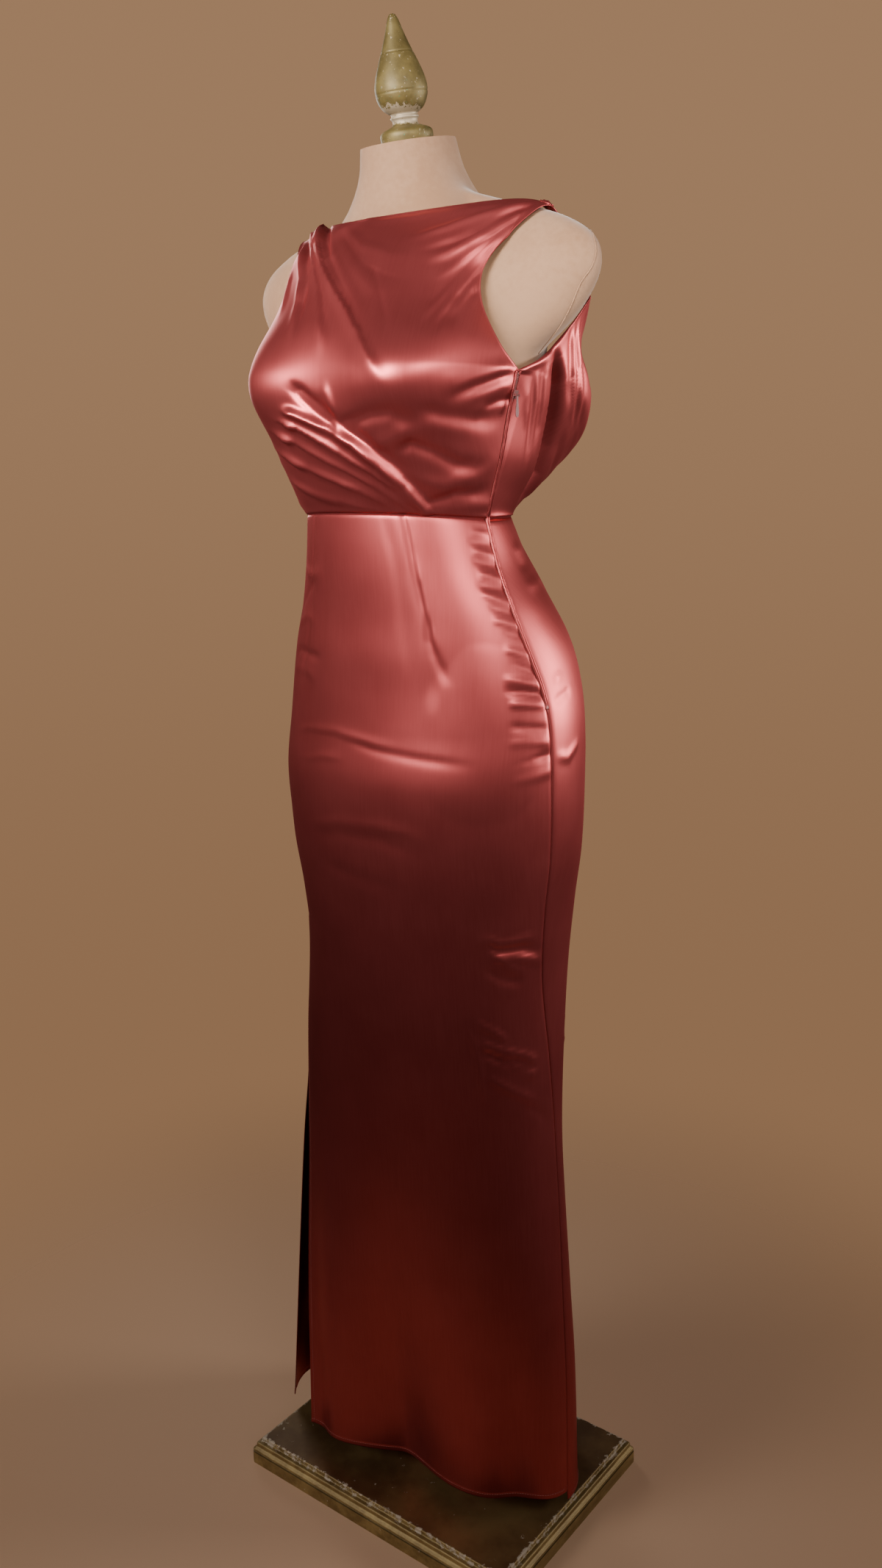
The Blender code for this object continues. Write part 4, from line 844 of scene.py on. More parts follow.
# height, widths on either side and points in millimetres
WAIST_PLEATS = (
    (7.0, 4.8, 5.0, ((-130, -88, 1352), (-100, -118, 1337), (-72, -138, 1320), (-37, -151, 1304),
      (3, -147, 1286), (30, -142, 1271), (53, -131, 1251), (72, -114, 1229), (79, -92, 1209),
      (84, -84, 1188), (90, -74, 1160))),
    (-4.0, 9.0, 4.0, ((-50, -150, 1332), (-20, -150, 1314), (16, -147, 1294), (44, -138, 1274),
      (66, -124, 1251), (80, -106, 1230), (88, -92, 1206), (94, -84, 1184))),
    (5.4, 6.2, 4.0, ((-132, -84, 1334), (-104, -112, 1322), (-74, -134, 1307), (-39, -148, 1289),
      (-14, -145, 1276), (12, -142, 1261), (42, -132, 1242), (64, -118, 1224), (74, -96, 1206),
      (80, -86, 1180))),
    (4.8, 6.2, 4.0, ((-132, -80, 1314), (-108, -108, 1303), (-80, -128, 1292), (-48, -144, 1272),
      (-16, -141, 1257), (14, -137, 1243), (42, -128, 1228), (62, -110, 1211), (70, -96, 1194),
      (76, -86, 1170))),
    (3.8, 6.6, 4.0, ((-126, -76, 1284), (-100, -104, 1275), (-72, -122, 1264), (-40, -134, 1247),
      (-8, -132, 1236), (24, -127, 1223), (46, -116, 1211), (56, -104, 1196), (62, -96, 1176))),
    (2.2, 6.0, 4.2, ((-96, -100, 1246), (-70, -114, 1232), (-40, -120, 1222), (-4, -122, 1214),
      (32, -116, 1206), (50, -106, 1194))),
    (-4.0, 4.5, 9.0, ((-40, -148, 1338), (-24, -150, 1324), (-10, -148, 1309), (2, -147, 1297),
      (9, -146, 1288), (12, -146, 1280), (14, -146, 1266))),
    (2.0, 5.0, 8.0, ((4, -150, 1334), (10, -150, 1318), (14, -147, 1304), (20, -146, 1292),
      (26, -144, 1280))),
)
SHOULDER_PLEATS = (
    (8.5, 4.4, 9.0, ((-120, 6, 1500), (-96, -20, 1496), (-72, -56, 1485), (-57, -82, 1474),
      (-29, -112, 1449), (1, -130, 1423), (26, -140, 1401), (50, -151, 1376), (66, -157, 1356),
      (78, -158, 1336), (92, -154, 1312))),
    (-5.5, 4.4, 4.4, ((-112, 4, 1502), (-88, -24, 1496), (-66, -58, 1487), (-50, -78, 1476),
      (-28, -103, 1456), (6, -124, 1428), (34, -139, 1399), (57, -153, 1372), (71, -157, 1353),
      (80, -156, 1338))),
    (7.0, 4.4, 6.0, ((-118, 8, 1498), (-102, -24, 1490), (-82, -56, 1481), (-64, -84, 1470),
      (-44, -110, 1448), (-26, -126, 1428), (-12, -138, 1402), (-4, -146, 1376), (0, -149, 1350))),
    (-6.0, 4.0, 5.0, ((-84, -50, 1484), (-66, -80, 1474), (-50, -98, 1460), (-28, -121, 1438),
      (-14, -132, 1416), (-6, -138, 1400), (5, -145, 1378), (8, -148, 1366))),
    (6.0, 4.2, 5.6, ((-122, 4, 1494), (-108, -26, 1484), (-92, -58, 1472), (-78, -84, 1458),
      (-64, -106, 1440), (-52, -122, 1416), (-46, -134, 1392), (-42, -142, 1366))),
    (-5.4, 4.0, 4.6, ((-98, -44, 1480), (-80, -76, 1468), (-66, -96, 1454), (-52, -112, 1440),
      (-47, -119, 1430), (-47, -124, 1412), (-42, -134, 1390), (-38, -142, 1372))),
    (3.6, 4.4, 5.2, ((-124, -6, 1486), (-114, -34, 1472), (-104, -60, 1456), (-94, -84, 1438),
      (-84, -104, 1416), (-76, -120, 1392))),
    (-3.0, 4.0, 4.4, ((-120, -16, 1480), (-108, -44, 1466), (-98, -68, 1450), (-88, -88, 1432),
      (-78, -106, 1410))),
    (1.6, 5.0, 9.0, ((-60, -62, 1488), (-43, -84, 1473), (-14, -108, 1448), (17, -125, 1421),
      (45, -139, 1394), (62, -150, 1372))),
)
ARMHOLE_PULLS = (
    (2.2, 5.0, 4.2, ((150, 4, 1497), (139, -14, 1493), (127, -32, 1486), (112, -50, 1479), (94, -67, 1471),
      (74, -80, 1465), (52, -90, 1462))),
    (-2.3, 4.2, 3.8, ((156, 6, 1494), (144, -16, 1488), (133, -38, 1478), (122, -58, 1467),
      (108, -72, 1458), (92, -84, 1452), (74, -94, 1448))),
    (2.3, 4.0, 4.4, ((154, -2, 1490), (142, -26, 1481), (132, -46, 1470), (118, -66, 1458),
      (104, -80, 1447), (88, -92, 1440))),
    (-2.4, 3.6, 3.4, ((150, -10, 1484), (143, -34, 1473), (134, -49, 1462), (123, -67, 1451),
      (110, -81, 1441), (97, -91, 1438), (84, -100, 1434))),
    (2.2, 3.8, 3.8, ((150, -22, 1476), (141, -42, 1466), (131, -56, 1455), (119, -71, 1443),
      (106, -86, 1429), (96, -98, 1420))),
    (-2.2, 3.4, 3.6, ((146, -30, 1472), (139, -43, 1463), (131, -57, 1450), (120, -72, 1434),
      (112, -89, 1420), (107, -101, 1406), (100, -112, 1392))),
    (2.0, 4.0, 4.2, ((142, -38, 1464), (133, -54, 1448), (123, -72, 1430), (114, -90, 1411),
      (107, -106, 1394), (102, -120, 1376))),
    (-2.0, 3.6, 4.0, ((140, -42, 1456), (129, -60, 1437), (120, -80, 1421), (111, -99, 1399),
      (107, -116, 1383), (104, -128, 1366))),
    (1.8, 4.0, 4.4, ((136, -46, 1449), (128, -62, 1432), (121, -80, 1412), (114, -98, 1394),
      (110, -114, 1376))),
    (-1.8, 3.6, 4.2, ((136, -50, 1438), (127, -67, 1422), (119, -84, 1405), (116, -107, 1384),
      (113, -124, 1363))),
    (1.5, 4.0, 4.6, ((134, -54, 1428), (127, -70, 1414), (123, -86, 1398), (120, -102, 1384))),
    (-1.4, 4.0, 4.0, ((134, -58, 1418), (126, -72, 1408), (123, -89, 1393), (119, -108, 1374))),
)
UNDER_BUST_FOLDS = (
    (1.5, 8.8, 10.0, ((154, -38, 1342), (146, -72, 1334), (128, -106, 1326), (108, -128, 1318))),
    (-2.0, 5.0, 6.0, ((156, -34, 1336), (149, -60, 1331), (138, -88, 1322), (120, -114, 1310))),
    (1.0, 6.2, 7.5, ((155, -34, 1325), (148, -56, 1323), (138, -84, 1314), (124, -106, 1306))),
    (-1.4, 4.0, 4.6, ((150, -34, 1313), (145, -55, 1310), (138, -76, 1302))),
    (-3.2, 9.0, 8.0, ((12, -146, 1283), (34, -147, 1292), (60, -147, 1299), (80, -145, 1299),
      (94, -132, 1289), (106, -116, 1274))),
    (1.9, 10.0, 10.0, ((34, -139, 1262), (50, -138, 1268), (72, -132, 1276), (92, -127, 1284),
      (110, -114, 1288), (124, -96, 1286), (138, -62, 1290))),
    (-3.2, 7.0, 8.0, ((66, -128, 1262), (89, -123, 1270), (104, -105, 1262), (115, -84, 1251),
      (124, -66, 1247), (134, -42, 1252))),
    (1.9, 8.8, 8.8, ((52, -124, 1246), (68, -121, 1245), (86, -104, 1236), (102, -88, 1232),
      (118, -71, 1239), (128, -51, 1249), (136, -36, 1262))),
    (-2.2, 6.0, 6.0, ((76, -96, 1212), (92, -88, 1217), (106, -76, 1223), (116, -56, 1223),
      (124, -34, 1228))),
    (1.1, 6.2, 6.2, ((84, -86, 1205), (98, -76, 1208), (110, -56, 1210), (118, -36, 1210),
      (122, -22, 1212))),
    (-2.4, 8.0, 9.0, ((100, -136, 1306), (118, -110, 1296), (134, -78, 1292), (146, -40, 1298))),
)
RIGHT_SIDE_FOLDS = (
    (2.0, 6.0, 7.0, ((-154, -38, 1342), (-147, -70, 1338), (-132, -102, 1336), (-112, -126, 1336))),
    (-1.8, 5.0, 6.0, ((-156, -34, 1330), (-149, -58, 1326), (-137, -88, 1322), (-118, -114, 1322))),
    (1.8, 6.0, 6.0, ((-152, -34, 1314), (-144, -56, 1312), (-132, -86, 1306), (-112, -112, 1304))),
    (-1.6, 5.0, 6.0, ((-146, -34, 1296), (-138, -56, 1293), (-126, -82, 1286), (-106, -106, 1280))),
    (1.5, 6.0, 5.0, ((-140, -34, 1276), (-132, -54, 1270), (-118, -82, 1262), (-98, -104, 1254))),
    (-1.4, 5.0, 5.0, ((-132, -34, 1254), (-124, -54, 1246), (-110, -78, 1236), (-90, -96, 1226))),
    (1.3, 5.0, 5.0, ((-126, -34, 1234), (-118, -54, 1226), (-104, -74, 1216), (-86, -90, 1208))),
)
NECK_DRAPE = (
    (1.6, 6.0, 6.0, ((-40, -66, 1494), (-20, -82, 1482), (12, -98, 1464), (52, -104, 1450),
      (84, -96, 1446))),
    (-1.7, 6.0, 9.0, ((-34, -74, 1488), (-8, -94, 1468), (24, -112, 1446), (54, -116, 1434),
      (84, -108, 1424))),
    (1.2, 7.0, 7.0, ((-26, -84, 1480), (14, -112, 1442), (42, -124, 1422), (74, -122, 1408))),
    (-0.9, 3.0, 5.0, ((30, -108, 1442), (41, -113, 1432), (58, -124, 1410), (70, -132, 1388),
      (76, -146, 1366))),
    (0.9, 4.0, 4.0, ((-10, -70, 1492), (20, -74, 1484), (56, -66, 1484), (86, -48, 1487))),
)


SEAM_PRESS, HEM_ROLL, WAIST_PUFF_UP = 0.0010, 0.0007, 0.035


def with_sewn_edges(height, u, up, waist_puff, panel_top, rim_width, deepest):
    """Crease heights eased off at the seams, with the waist's puff and the turned edges added."""
    rim = np.abs(np.clip(u, -1, 1))
    on_panel = np.where(up < panel_top, 1, 0)
    in_seam = np.where(up < SIDE_SEAM[-1][0], 1.0, 0.0)
    height = height * (1 - 0.8 * (1 - eased(up, 0.0, 0.03)))
    puff = waist_puff * np.exp(-(((up - WAIST_PUFF_UP) / 0.02) ** 2))
    height += puff - SEAM_PRESS * (1 - eased(up, 0.0, 0.018))
    height = height * (1 - 0.6 * eased(rim, 0.975, 1.0) * on_panel)
    height -= SEAM_PRESS * eased(rim, 0.982, 1.0) * in_seam
    height += 0.0005 * np.exp(-(((1 - rim) / 0.006) ** 2)) * (1 - in_seam) * on_panel
    height += HEM_ROLL * np.exp(-(((1 - up) / rim_width) ** 2))
    return np.maximum(height, deepest)


front_u = graded(254, (0.0, -1.0), (0.08, -0.94), (0.62, 0.36), (0.92, 0.94), (1.0, 1.0))
front_up = graded(186, (0.0, 0.0), (0.07, 0.03), (0.48, 0.36), (1.0, 1.0))
u, up = np.meshgrid(front_u, front_up)
inner = front_bodice(u, up)
normals = outward_normals(inner, False)
height = crease_heights(inner, normals, WAIST_PLEATS + SHOULDER_PLEATS + ARMHOLE_PULLS + UNDER_BUST_FOLDS
                        + RIGHT_SIDE_FOLDS + NECK_DRAPE)
height = with_sewn_edges(height, u, up, 0.0016, math.inf, 0.008, -0.0030)
outer = inner + normals * (CLOTH_OVER_INNER + height)[..., None]
cloth_piece("bodice_front_satin", outer, "bodice_front", False)


# ---------------------------------------------------------------- bodice back
# The back falls in a deep cowl between two side panels.  Its upper edges run up to the shoulders as
# narrow straps, and stacked folds hang from them beside a deep hollow on each side.
BACK_ARMHOLE = ((0.40, 0.1520, -0.0360, 1.3390), (0.46, 0.1555, 0.0000, 1.3515), (0.52, 0.1560, 0.0310, 1.3705),
                (0.58, 0.1565, 0.0615, 1.3918), (0.64, 0.1565, 0.0925, 1.4171))
STRAP_ROOT = ((0.64, 0.1565, 0.0925, 1.4171), (0.82, 0.1515, 0.0960, 1.4130), (1.00, 0.1460, 0.0980, 1.4070))
STRAP_ROOT_UP = 0.64
SHOULDER_UPS = (0.92, 1.00)
STRAP_BOW = np.array((0.0005, 0.0020, 0.0030))
BACK_MIDDLE = (
    (0.00, 0.0730, 1.1965, 93, 0.95, 0.95, 1.0, 0.000),
    (0.10, 0.0980, 1.2080, 93, 0.92, 0.90, 1.0, 0.000),
    (0.20, 0.1260, 1.2190, 92, 0.88, 0.78, 1.0, 0.000),
    (0.30, 0.1480, 1.2330, 90, 0.84, 0.62, 1.1, 0.000),
    (0.40, 0.1590, 1.2460, 88, 0.80, 0.50, 1.1, 0.000),
    (0.46, 0.1600, 1.2540, 86, 0.80, 0.48, 1.1, 0.000),
    (0.52, 0.1590, 1.2600, 80, 0.90, 0.50, 1.05, 0.000),
    (0.58, 0.1575, 1.2650, 70, 1.10, 0.70, 1.0, 0.000),
    (0.64, 0.1560, 1.2700, 62, 1.25, 0.90, 1.0, 0.000),
    (0.82, 0.1520, 1.2760, 60, 1.30, 1.00, 1.0, 0.000),
    (1.00, 0.1470, 1.2830, 60, 1.30, 1.00, 1.0, 0.000),
)
# the cowl's large folds, seen from behind: x and z of both ends, bow, width, height in metres
COWL_FOLDS = ((0.140, 1.345, 0.010, 1.240, 0.030, 0.0160, 0.0070),
              (-0.140, 1.345, -0.010, 1.240, -0.030, 0.0160, 0.0070))


def fold_heights(points, folds):
    total = 0.0
    for x0, z0, x1, z1, bow, width, height in folds:
        run_x, run_z = x1 - x0, z1 - z0
        length = math.hypot(run_x, run_z)
        offset_x, offset_z = points[..., 0] - x0, points[..., 2] - z0
        along = (offset_x * run_x + offset_z * run_z) / length**2
        aside = (run_x * offset_z - run_z * offset_x) / length - bow * 4 * along * (1 - along)
        fade = eased(along, -0.12, 0.12) * (1 - eased(along, 0.80, 1.12))
        total = total + height * np.exp(-((aside / width) ** 2)) * fade
    return total


def strap_surface(u, up):
    side, along = np.sign(u), (np.abs(u) - 1)[..., None]
    across = (up - STRAP_ROOT_UP) / (1 - STRAP_ROOT_UP)
    root = np.stack(blended_rows(STRAP_ROOT, up), axis=-1)
    strap_up = SHOULDER_UPS[0] + (SHOULDER_UPS[1] - SHOULDER_UPS[0]) * across
    top = np.stack(blended_rows(FRONT_ARMHOLE, strap_up), axis=-1)
    top[..., 0] -= np.where(side < 0, RIGHT_STRAP_DRAWN_IN, 0.0)
    mirror = np.stack([side, np.ones_like(side), np.ones_like(side)], axis=-1)
    return (root + (top - root) * along) * mirror + STRAP_BOW * (4 * along * (1 - along))


def back_bodice(u, up):
    body_u = np.clip(u, -1, 1)
    lower = bodice_surface(body_u, up, BACK_ARMHOLE, BACK_MIDDLE, 0.0)
    upper = bodice_surface(body_u, up, STRAP_ROOT, BACK_MIDDLE, 0.0)
    points = np.where((up <= STRAP_ROOT_UP)[..., None], lower, upper)
    lift = fold_heights(points, COWL_FOLDS) * (1 - np.abs(body_u) ** 12)
    points = points + level_outward(points, 1.3) * lift[..., None]
    strap = (np.abs(u) > 1)[..., None]
    points = np.where(strap, strap_surface(u, np.maximum(up, STRAP_ROOT_UP)), points)
    points = kept_clear(points, EASE)
    points = np.where(strap, points, sewn_to_skirt(points, body_u, up, False))
    return np.where(strap & (up < STRAP_ROOT_UP)[..., None], np.nan, points)


SIDE_PANEL_FOLDS = (
    (0.7, 3.9, 3.4, ((154, -26, 1342), (151, -22, 1330), (147, -12, 1316), (143, -6, 1298),
      (138, -2, 1282))),
    (0.8, 4.1, 3.4, ((154, -14, 1346), (153, -16, 1338), (146, -6, 1310), (138, -1, 1283), (126, 4, 1246),
      (118, 4, 1214))),
    (-0.7, 3.7, 3.4, ((156, -8, 1348), (151, -4, 1330), (144, 2, 1304), (135, 5, 1276), (124, 8, 1240))),
    (1.0, 4.4, 3.9, ((158, 0, 1352), (153, -2, 1337), (146, 8, 1311), (138, 11, 1284), (130, 14, 1257),
      (120, 14, 1222))),
    (-0.7, 3.9, 3.9, ((157, 10, 1356), (152, 10, 1334), (145, 15, 1309), (137, 18, 1284), (128, 20, 1256))),
    (0.9, 4.6, 4.1, ((158, 16, 1360), (153, 14, 1334), (144, 21, 1303), (137, 24, 1282), (126, 24, 1244))),
)
COWL_HOLLOW = (
    (-15.0, 9.0, 9.0, ((160, 24, 1368), (158, 34, 1352), (154, 40, 1331), (148, 44, 1312), (140, 48, 1291),
      (130, 50, 1268), (118, 49, 1242), (108, 42, 1222), (100, 32, 1200))),
)
COWL_EDGE_FOLDS = (
    (-1.3, 8.1, 8.8, ((158, 22, 1362), (157, 31, 1350), (153, 37, 1331), (148, 41, 1312), (140, 46, 1291),
      (130, 49, 1268), (118, 48, 1242), (108, 40, 1222), (106, 28, 1206))),
    (-1.9, 2.8, 4.2, ((157, 56, 1392), (156, 57, 1370), (154, 59, 1345), (149, 67, 1319), (143, 75, 1300))),
    (1.7, 4.0, 3.8, ((157, 62, 1394), (156, 63, 1372), (154, 66, 1346), (150, 74, 1320), (143, 82, 1300),
      (134, 92, 1284))),
    (-1.9, 3.0, 3.5, ((158, 68, 1396), (155, 68, 1372), (153, 73, 1345), (149, 80, 1321), (142, 87, 1301),
      (132, 98, 1282))),
    (1.7, 4.2, 3.8, ((158, 74, 1400), (154, 74, 1378), (152, 80, 1352), (149, 87, 1325), (142, 94, 1304),
      (130, 106, 1284))),
    (-1.7, 3.2, 3.8, ((158, 80, 1404), (154, 80, 1380), (151, 86, 1352), (148, 94, 1325), (140, 102, 1302),
      (126, 114, 1282))),
    (0.8, 5.8, 4.5, ((158, 86, 1408), (152, 92, 1372), (146, 102, 1338), (134, 116, 1308),
      (116, 130, 1284), (92, 142, 1266))),
    (-0.7, 5.0, 6.2, ((156, 90, 1408), (150, 98, 1370), (142, 110, 1334), (126, 124, 1302),
      (104, 138, 1278), (76, 148, 1258))),
    (0.8, 8.8, 5.6, ((152, 94, 1408), (144, 108, 1362), (130, 124, 1322), (106, 140, 1292),
      (74, 150, 1272), (36, 156, 1262))),
    (-0.8, 6.2, 8.8, ((146, 84, 1330), (134, 100, 1296), (112, 118, 1270), (84, 132, 1250),
      (50, 142, 1238))),
    (0.8, 7.5, 7.5, ((142, 72, 1302), (126, 88, 1276), (106, 100, 1256), (80, 112, 1238), (48, 120, 1224))),
    (-1.3, 6.2, 6.2, ((132, 70, 1284), (114, 82, 1254), (92, 96, 1236), (62, 104, 1218))),
    (1.2, 6.2, 6.2, ((118, 60, 1252), (100, 70, 1230), (78, 84, 1216), (50, 88, 1204))),
)
STRAP_FOLDS = (
    (0.9, 1.8, 2.0, ((150, 20, 1496), (154, 48, 1478), (156, 74, 1446), (154, 92, 1414), (148, 100, 1380))),
    (-0.9, 1.6, 1.8, ((153, 18, 1494), (157, 46, 1476), (158, 72, 1444), (156, 90, 1412), (152, 98, 1384))),
)
strap_u = np.linspace(1, 2, 30)[1:]
panel_u = graded(216, (0.0, -1.0), (0.20, -0.90), (0.80, 0.90), (1.0, 1.0))
back_u = np.concatenate([-strap_u[::-1], panel_u, strap_u])
back_up = np.concatenate([graded(116, (0.0, 0.0), (0.10, 0.05), (1.0, STRAP_ROOT_UP)),
                          np.linspace(STRAP_ROOT_UP, 1.0, 44)[1:]])
u, up = np.meshgrid(back_u, back_up)
inner = back_bodice(u, up)
normals = outward_normals(inner, True)
hollow = crease_heights(inner, normals, COWL_HOLLOW)
hollow = hollow + crease_heights(inner, normals, COWL_HOLLOW, mirrored=True)
inner = kept_clear(inner + normals * hollow[..., None], EASE)
normals = outward_normals(inner, True)
BACK_FOLDS = SIDE_PANEL_FOLDS + COWL_EDGE_FOLDS + STRAP_FOLDS
height = crease_heights(inner, normals, BACK_FOLDS)
height += crease_heights(inner, normals, BACK_FOLDS, mirrored=True) * 0.9
height = with_sewn_edges(height, u, up, 0.0014, STRAP_ROOT_UP, 0.012, -0.0040)
outer = inner + normals * (CLOTH_OVER_INNER + height)[..., None]
cloth_piece("bodice_back_satin", outer, "bodice_back", True)


# ---------------------------------------------------------------- zip
# An invisible nylon zip sewn into the left side seam, from the armhole to below the waist.  Its coil
# shows only above the slider, where the two sides part; below, the cloth's lips close over it.
ZIP_END_Z, SLIDER_Z, ZIP_TOP_Z = 1.003, 1.317, 1.337
nylon, feed, place, _ = finish_of("zip_coil_nylon", Specular_IOR_Level=0.5)
rib = place.noise(900.0, 2.0)
feed(Base_Color=rib.between(0.3, 0.7).mixed((0.130, 0.022, 0.020), (0.215, 0.040, 0.034)),
     Roughness=0.36 + rib * 0.2, Normal=rib.bump(0.15, 0.0002))

seam_up = np.linspace(0.0, 0.40, 120)
upper_seam = front_bodice(np.ones(120)[None], seam_up[None])[0]
lower_z = np.linspace(ZIP_END_Z - 0.012, WAIST_Z - WAIST_GAP, 120)
lower_seam = skirt_surface(np.ones(120)[None], lower_z[None], True)[0]
seam_line = np.concatenate([lower_seam, upper_seam])


def seam_frames(z):
    """Points of the left seam's inner face at heights, with outward, up and sideways directions."""
    here, above, below = (np.stack([np.interp(level, seam_line[:, 2], seam_line[:, axis]) for axis in range(2)]
                                   + [level], axis=-1) for level in (z, z + 0.006, z - 0.006))
    up = above - below
    up /= np.linalg.norm(up, axis=-1, keepdims=True)
    outward = np.array((1.0, -0.10, 0.0)) - up * (up @ np.array((1.0, -0.10, 0.0)))[:, None]
    outward /= np.linalg.norm(outward, axis=-1, keepdims=True)
    return here, outward, up, np.cross(up, outward)


def along_seam(name, z, section):
    """Mesh of a section, given as (aside, lift) in millimetres for each height, drawn along the seam."""
    here, outward, _, side = seam_frames(z)
    section = np.asarray(section) * 0.001
    section = np.broadcast_to(section, (len(z), *section.shape[-2:]))
    grid = here[:, None] + side[:, None] * section[..., :1] + outward[:, None] * section[..., 1:]
    return capped(woven_mesh(name, grid, around=True))


zip_z = np.linspace(ZIP_END_Z, ZIP_TOP_Z, 200)
tape_section = ((-2.4, 0.9), (-2.4, 1.7), (-1.9, 2.0), (1.9, 2.0), (2.4, 1.7), (2.4, 0.9))
tape = along_seam("zip_tape", zip_z, tape_section)
parts = [tape]
here, outward, up_way, side_way = seam_frames(np.arange(SLIDER_Z + 0.0042, ZIP_TOP_Z - 0.0004, 0.00082))
for number, (spot, out, rise, across) in enumerate(zip(here, outward, up_way, side_way)):
    hand = 1 if number % 2 else -1
    line = np.array([spot + across * (hand * offset) + out * lift for offset, lift in
                     ((0.0021, 0.0022), (0.0015, 0.0029), (0.0006, 0.0031), (-0.0001, 0.0027))])
    parts.append(tube_along(f"tooth_{number}", line, 0.00034, 6))
zip_coil = joined("zip_coil_and_tape", parts)
zip_coil.data.materials.append(nylon)
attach(zip_coil, BODY)
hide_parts("side_zip")

lip_z = np.concatenate([np.linspace(ZIP_END_Z - 0.004, SLIDER_Z - 0.004, 210),
                        np.linspace(SLIDER_Z - 0.0035, ZIP_TOP_Z + 0.0012, 24)])
parted = eased(lip_z, SLIDER_Z - 0.012, SLIDER_Z + 0.004)
thin = eased(lip_z, ZIP_END_Z - 0.004, ZIP_END_Z + 0.010)
lips = []
for hand in (-1, 1):
    turn = full_turn(12)
    wide = 1.15 - 0.35 * parted
    middle = hand * (1.22 * thin + 1.35 * parted)
    wobble = 0.10 * np.sin(lip_z * 310 + hand) + 0.06 * np.sin(lip_z * 710)
    aside = middle[:, None] + wide[:, None] * np.cos(turn) * (0.35 + 0.65 * thin)[:, None]
    lift = (1.45 + 0.35 * thin + wobble)[:, None] + 1.15 * thin[:, None] * np.sin(turn)
    lips.append(along_seam(f"lip_{hand}", lip_z, np.stack([aside, lift], axis=-1)))
zip_lips = joined("zip_lips", lips)
zip_lips.data.materials.append(satin)
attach(zip_lips, BODY)


# ---------------------------------------------------------------- slider and pull tab
# A die-cast slider painted to match the cloth, with a drop-shaped tab that swings on its pin.
# Both keep the shape of their solids, under dark red enamel.
zip_metal, feed, place, _ = finish_of("zip_enamel", Metallic=0.1, Coat_Weight=0.1, Coat_Roughness=0.4,
                                      Specular_IOR_Level=0.25)
worn = place.noise(1400.0, 3.0)
feed(Base_Color=worn.between(0.35, 0.75).mixed((0.075, 0.013, 0.013), (0.170, 0.038, 0.035)),
     Roughness=0.46 + worn * 0.2, Normal=worn.bump(0.08, 0.0001))
slider = repainted("zip_slider", zip_metal)
pull = repainted("zip_pull", zip_metal)


# ---------------------------------------------------------------- shoulder loops
# At each shoulder the front's gathered end is drawn through a narrow satin loop sewn to the strap.
# The loop is a short, thick band with gathers pressed into it.
LOOP_RINGS, LOOP_AROUND, LOOP_HALF_LENGTH = 26, 64, 0.0058


def shoulder_loop(side):
    """Wrapped band: a short thick ring round the strap's end with gathers pressed into it."""
    centre = np.array((0.1535 - (RIGHT_STRAP_DRAWN_IN if side < 0 else 0.0), 0.0175, 1.4950)) * (side, 1, 1)
    along = np.array((0.02 * side, 0.93, -0.36))
    along /= np.linalg.norm(along)
    across = np.array((0.86 * side, -0.14, -0.42))
    across -= along * (across @ along)
    across /= np.linalg.norm(across)
    out = np.cross(across, along) * side
    out *= np.sign(out[2])
    turn = full_turn(LOOP_AROUND)
    grid = np.zeros((LOOP_RINGS, LOOP_AROUND, 3))
    for row, t in enumerate(np.linspace(-1, 1, LOOP_RINGS)):
        bulge = (1 - abs(t) ** 2.6) ** 0.5
        ruck = 1 + 0.16 * np.sin(turn * 5 + t * 2.4 + side) * bulge + 0.10 * np.sin(turn * 9 - t * 3.1)
        wide = (0.0030 + 0.0052 * bulge) * ruck
        thick = (0.0009 + 0.0024 * bulge) * ruck
        grid[row] = (centre + along * (t * LOOP_HALF_LENGTH) + np.cos(turn)[:, None] * across * wide[:, None]
                     + np.sin(turn)[:, None] * out * thick[:, None])
    return capped(woven_mesh(f"loop_{side}", grid, around=True))


loops = joined("shoulder_loops", [shoulder_loop(-1), shoulder_loop(1)])
loops.data.materials.append(satin)
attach(loops, BODY)


# ---------------------------------------------------------------- stitching
# Machine stitches in matching thread hold the turned hem and the turned edges of the slit.
# Each is a short raised thread, thickest in its middle, whose ends dip towards the cloth.
thread, feed, place, _ = finish_of("satin_thread", Specular_IOR_Level=0.5, Sheen_Weight=0.2)
ply = place.noise(2600.0, 2.0)
feed(Base_Color=ply.between(0.3, 0.7).mixed((0.36, 0.085, 0.075), (0.52, 0.16, 0.14)),
     Roughness=0.45 + ply * 0.15)
STITCH, STITCH_GAP, THREAD_SIDES = 0.0023, 0.0007, 5
# along the stitch, thread radius and lift off the cloth
STITCH_RINGS = ((0.0, 0.00008, -0.0001), (0.2, 0.00020, 0.00008), (0.5, 0.00024, 0.00016),
                (0.8, 0.00020, 0.00008), (1.0, 0.00008, -0.0001))


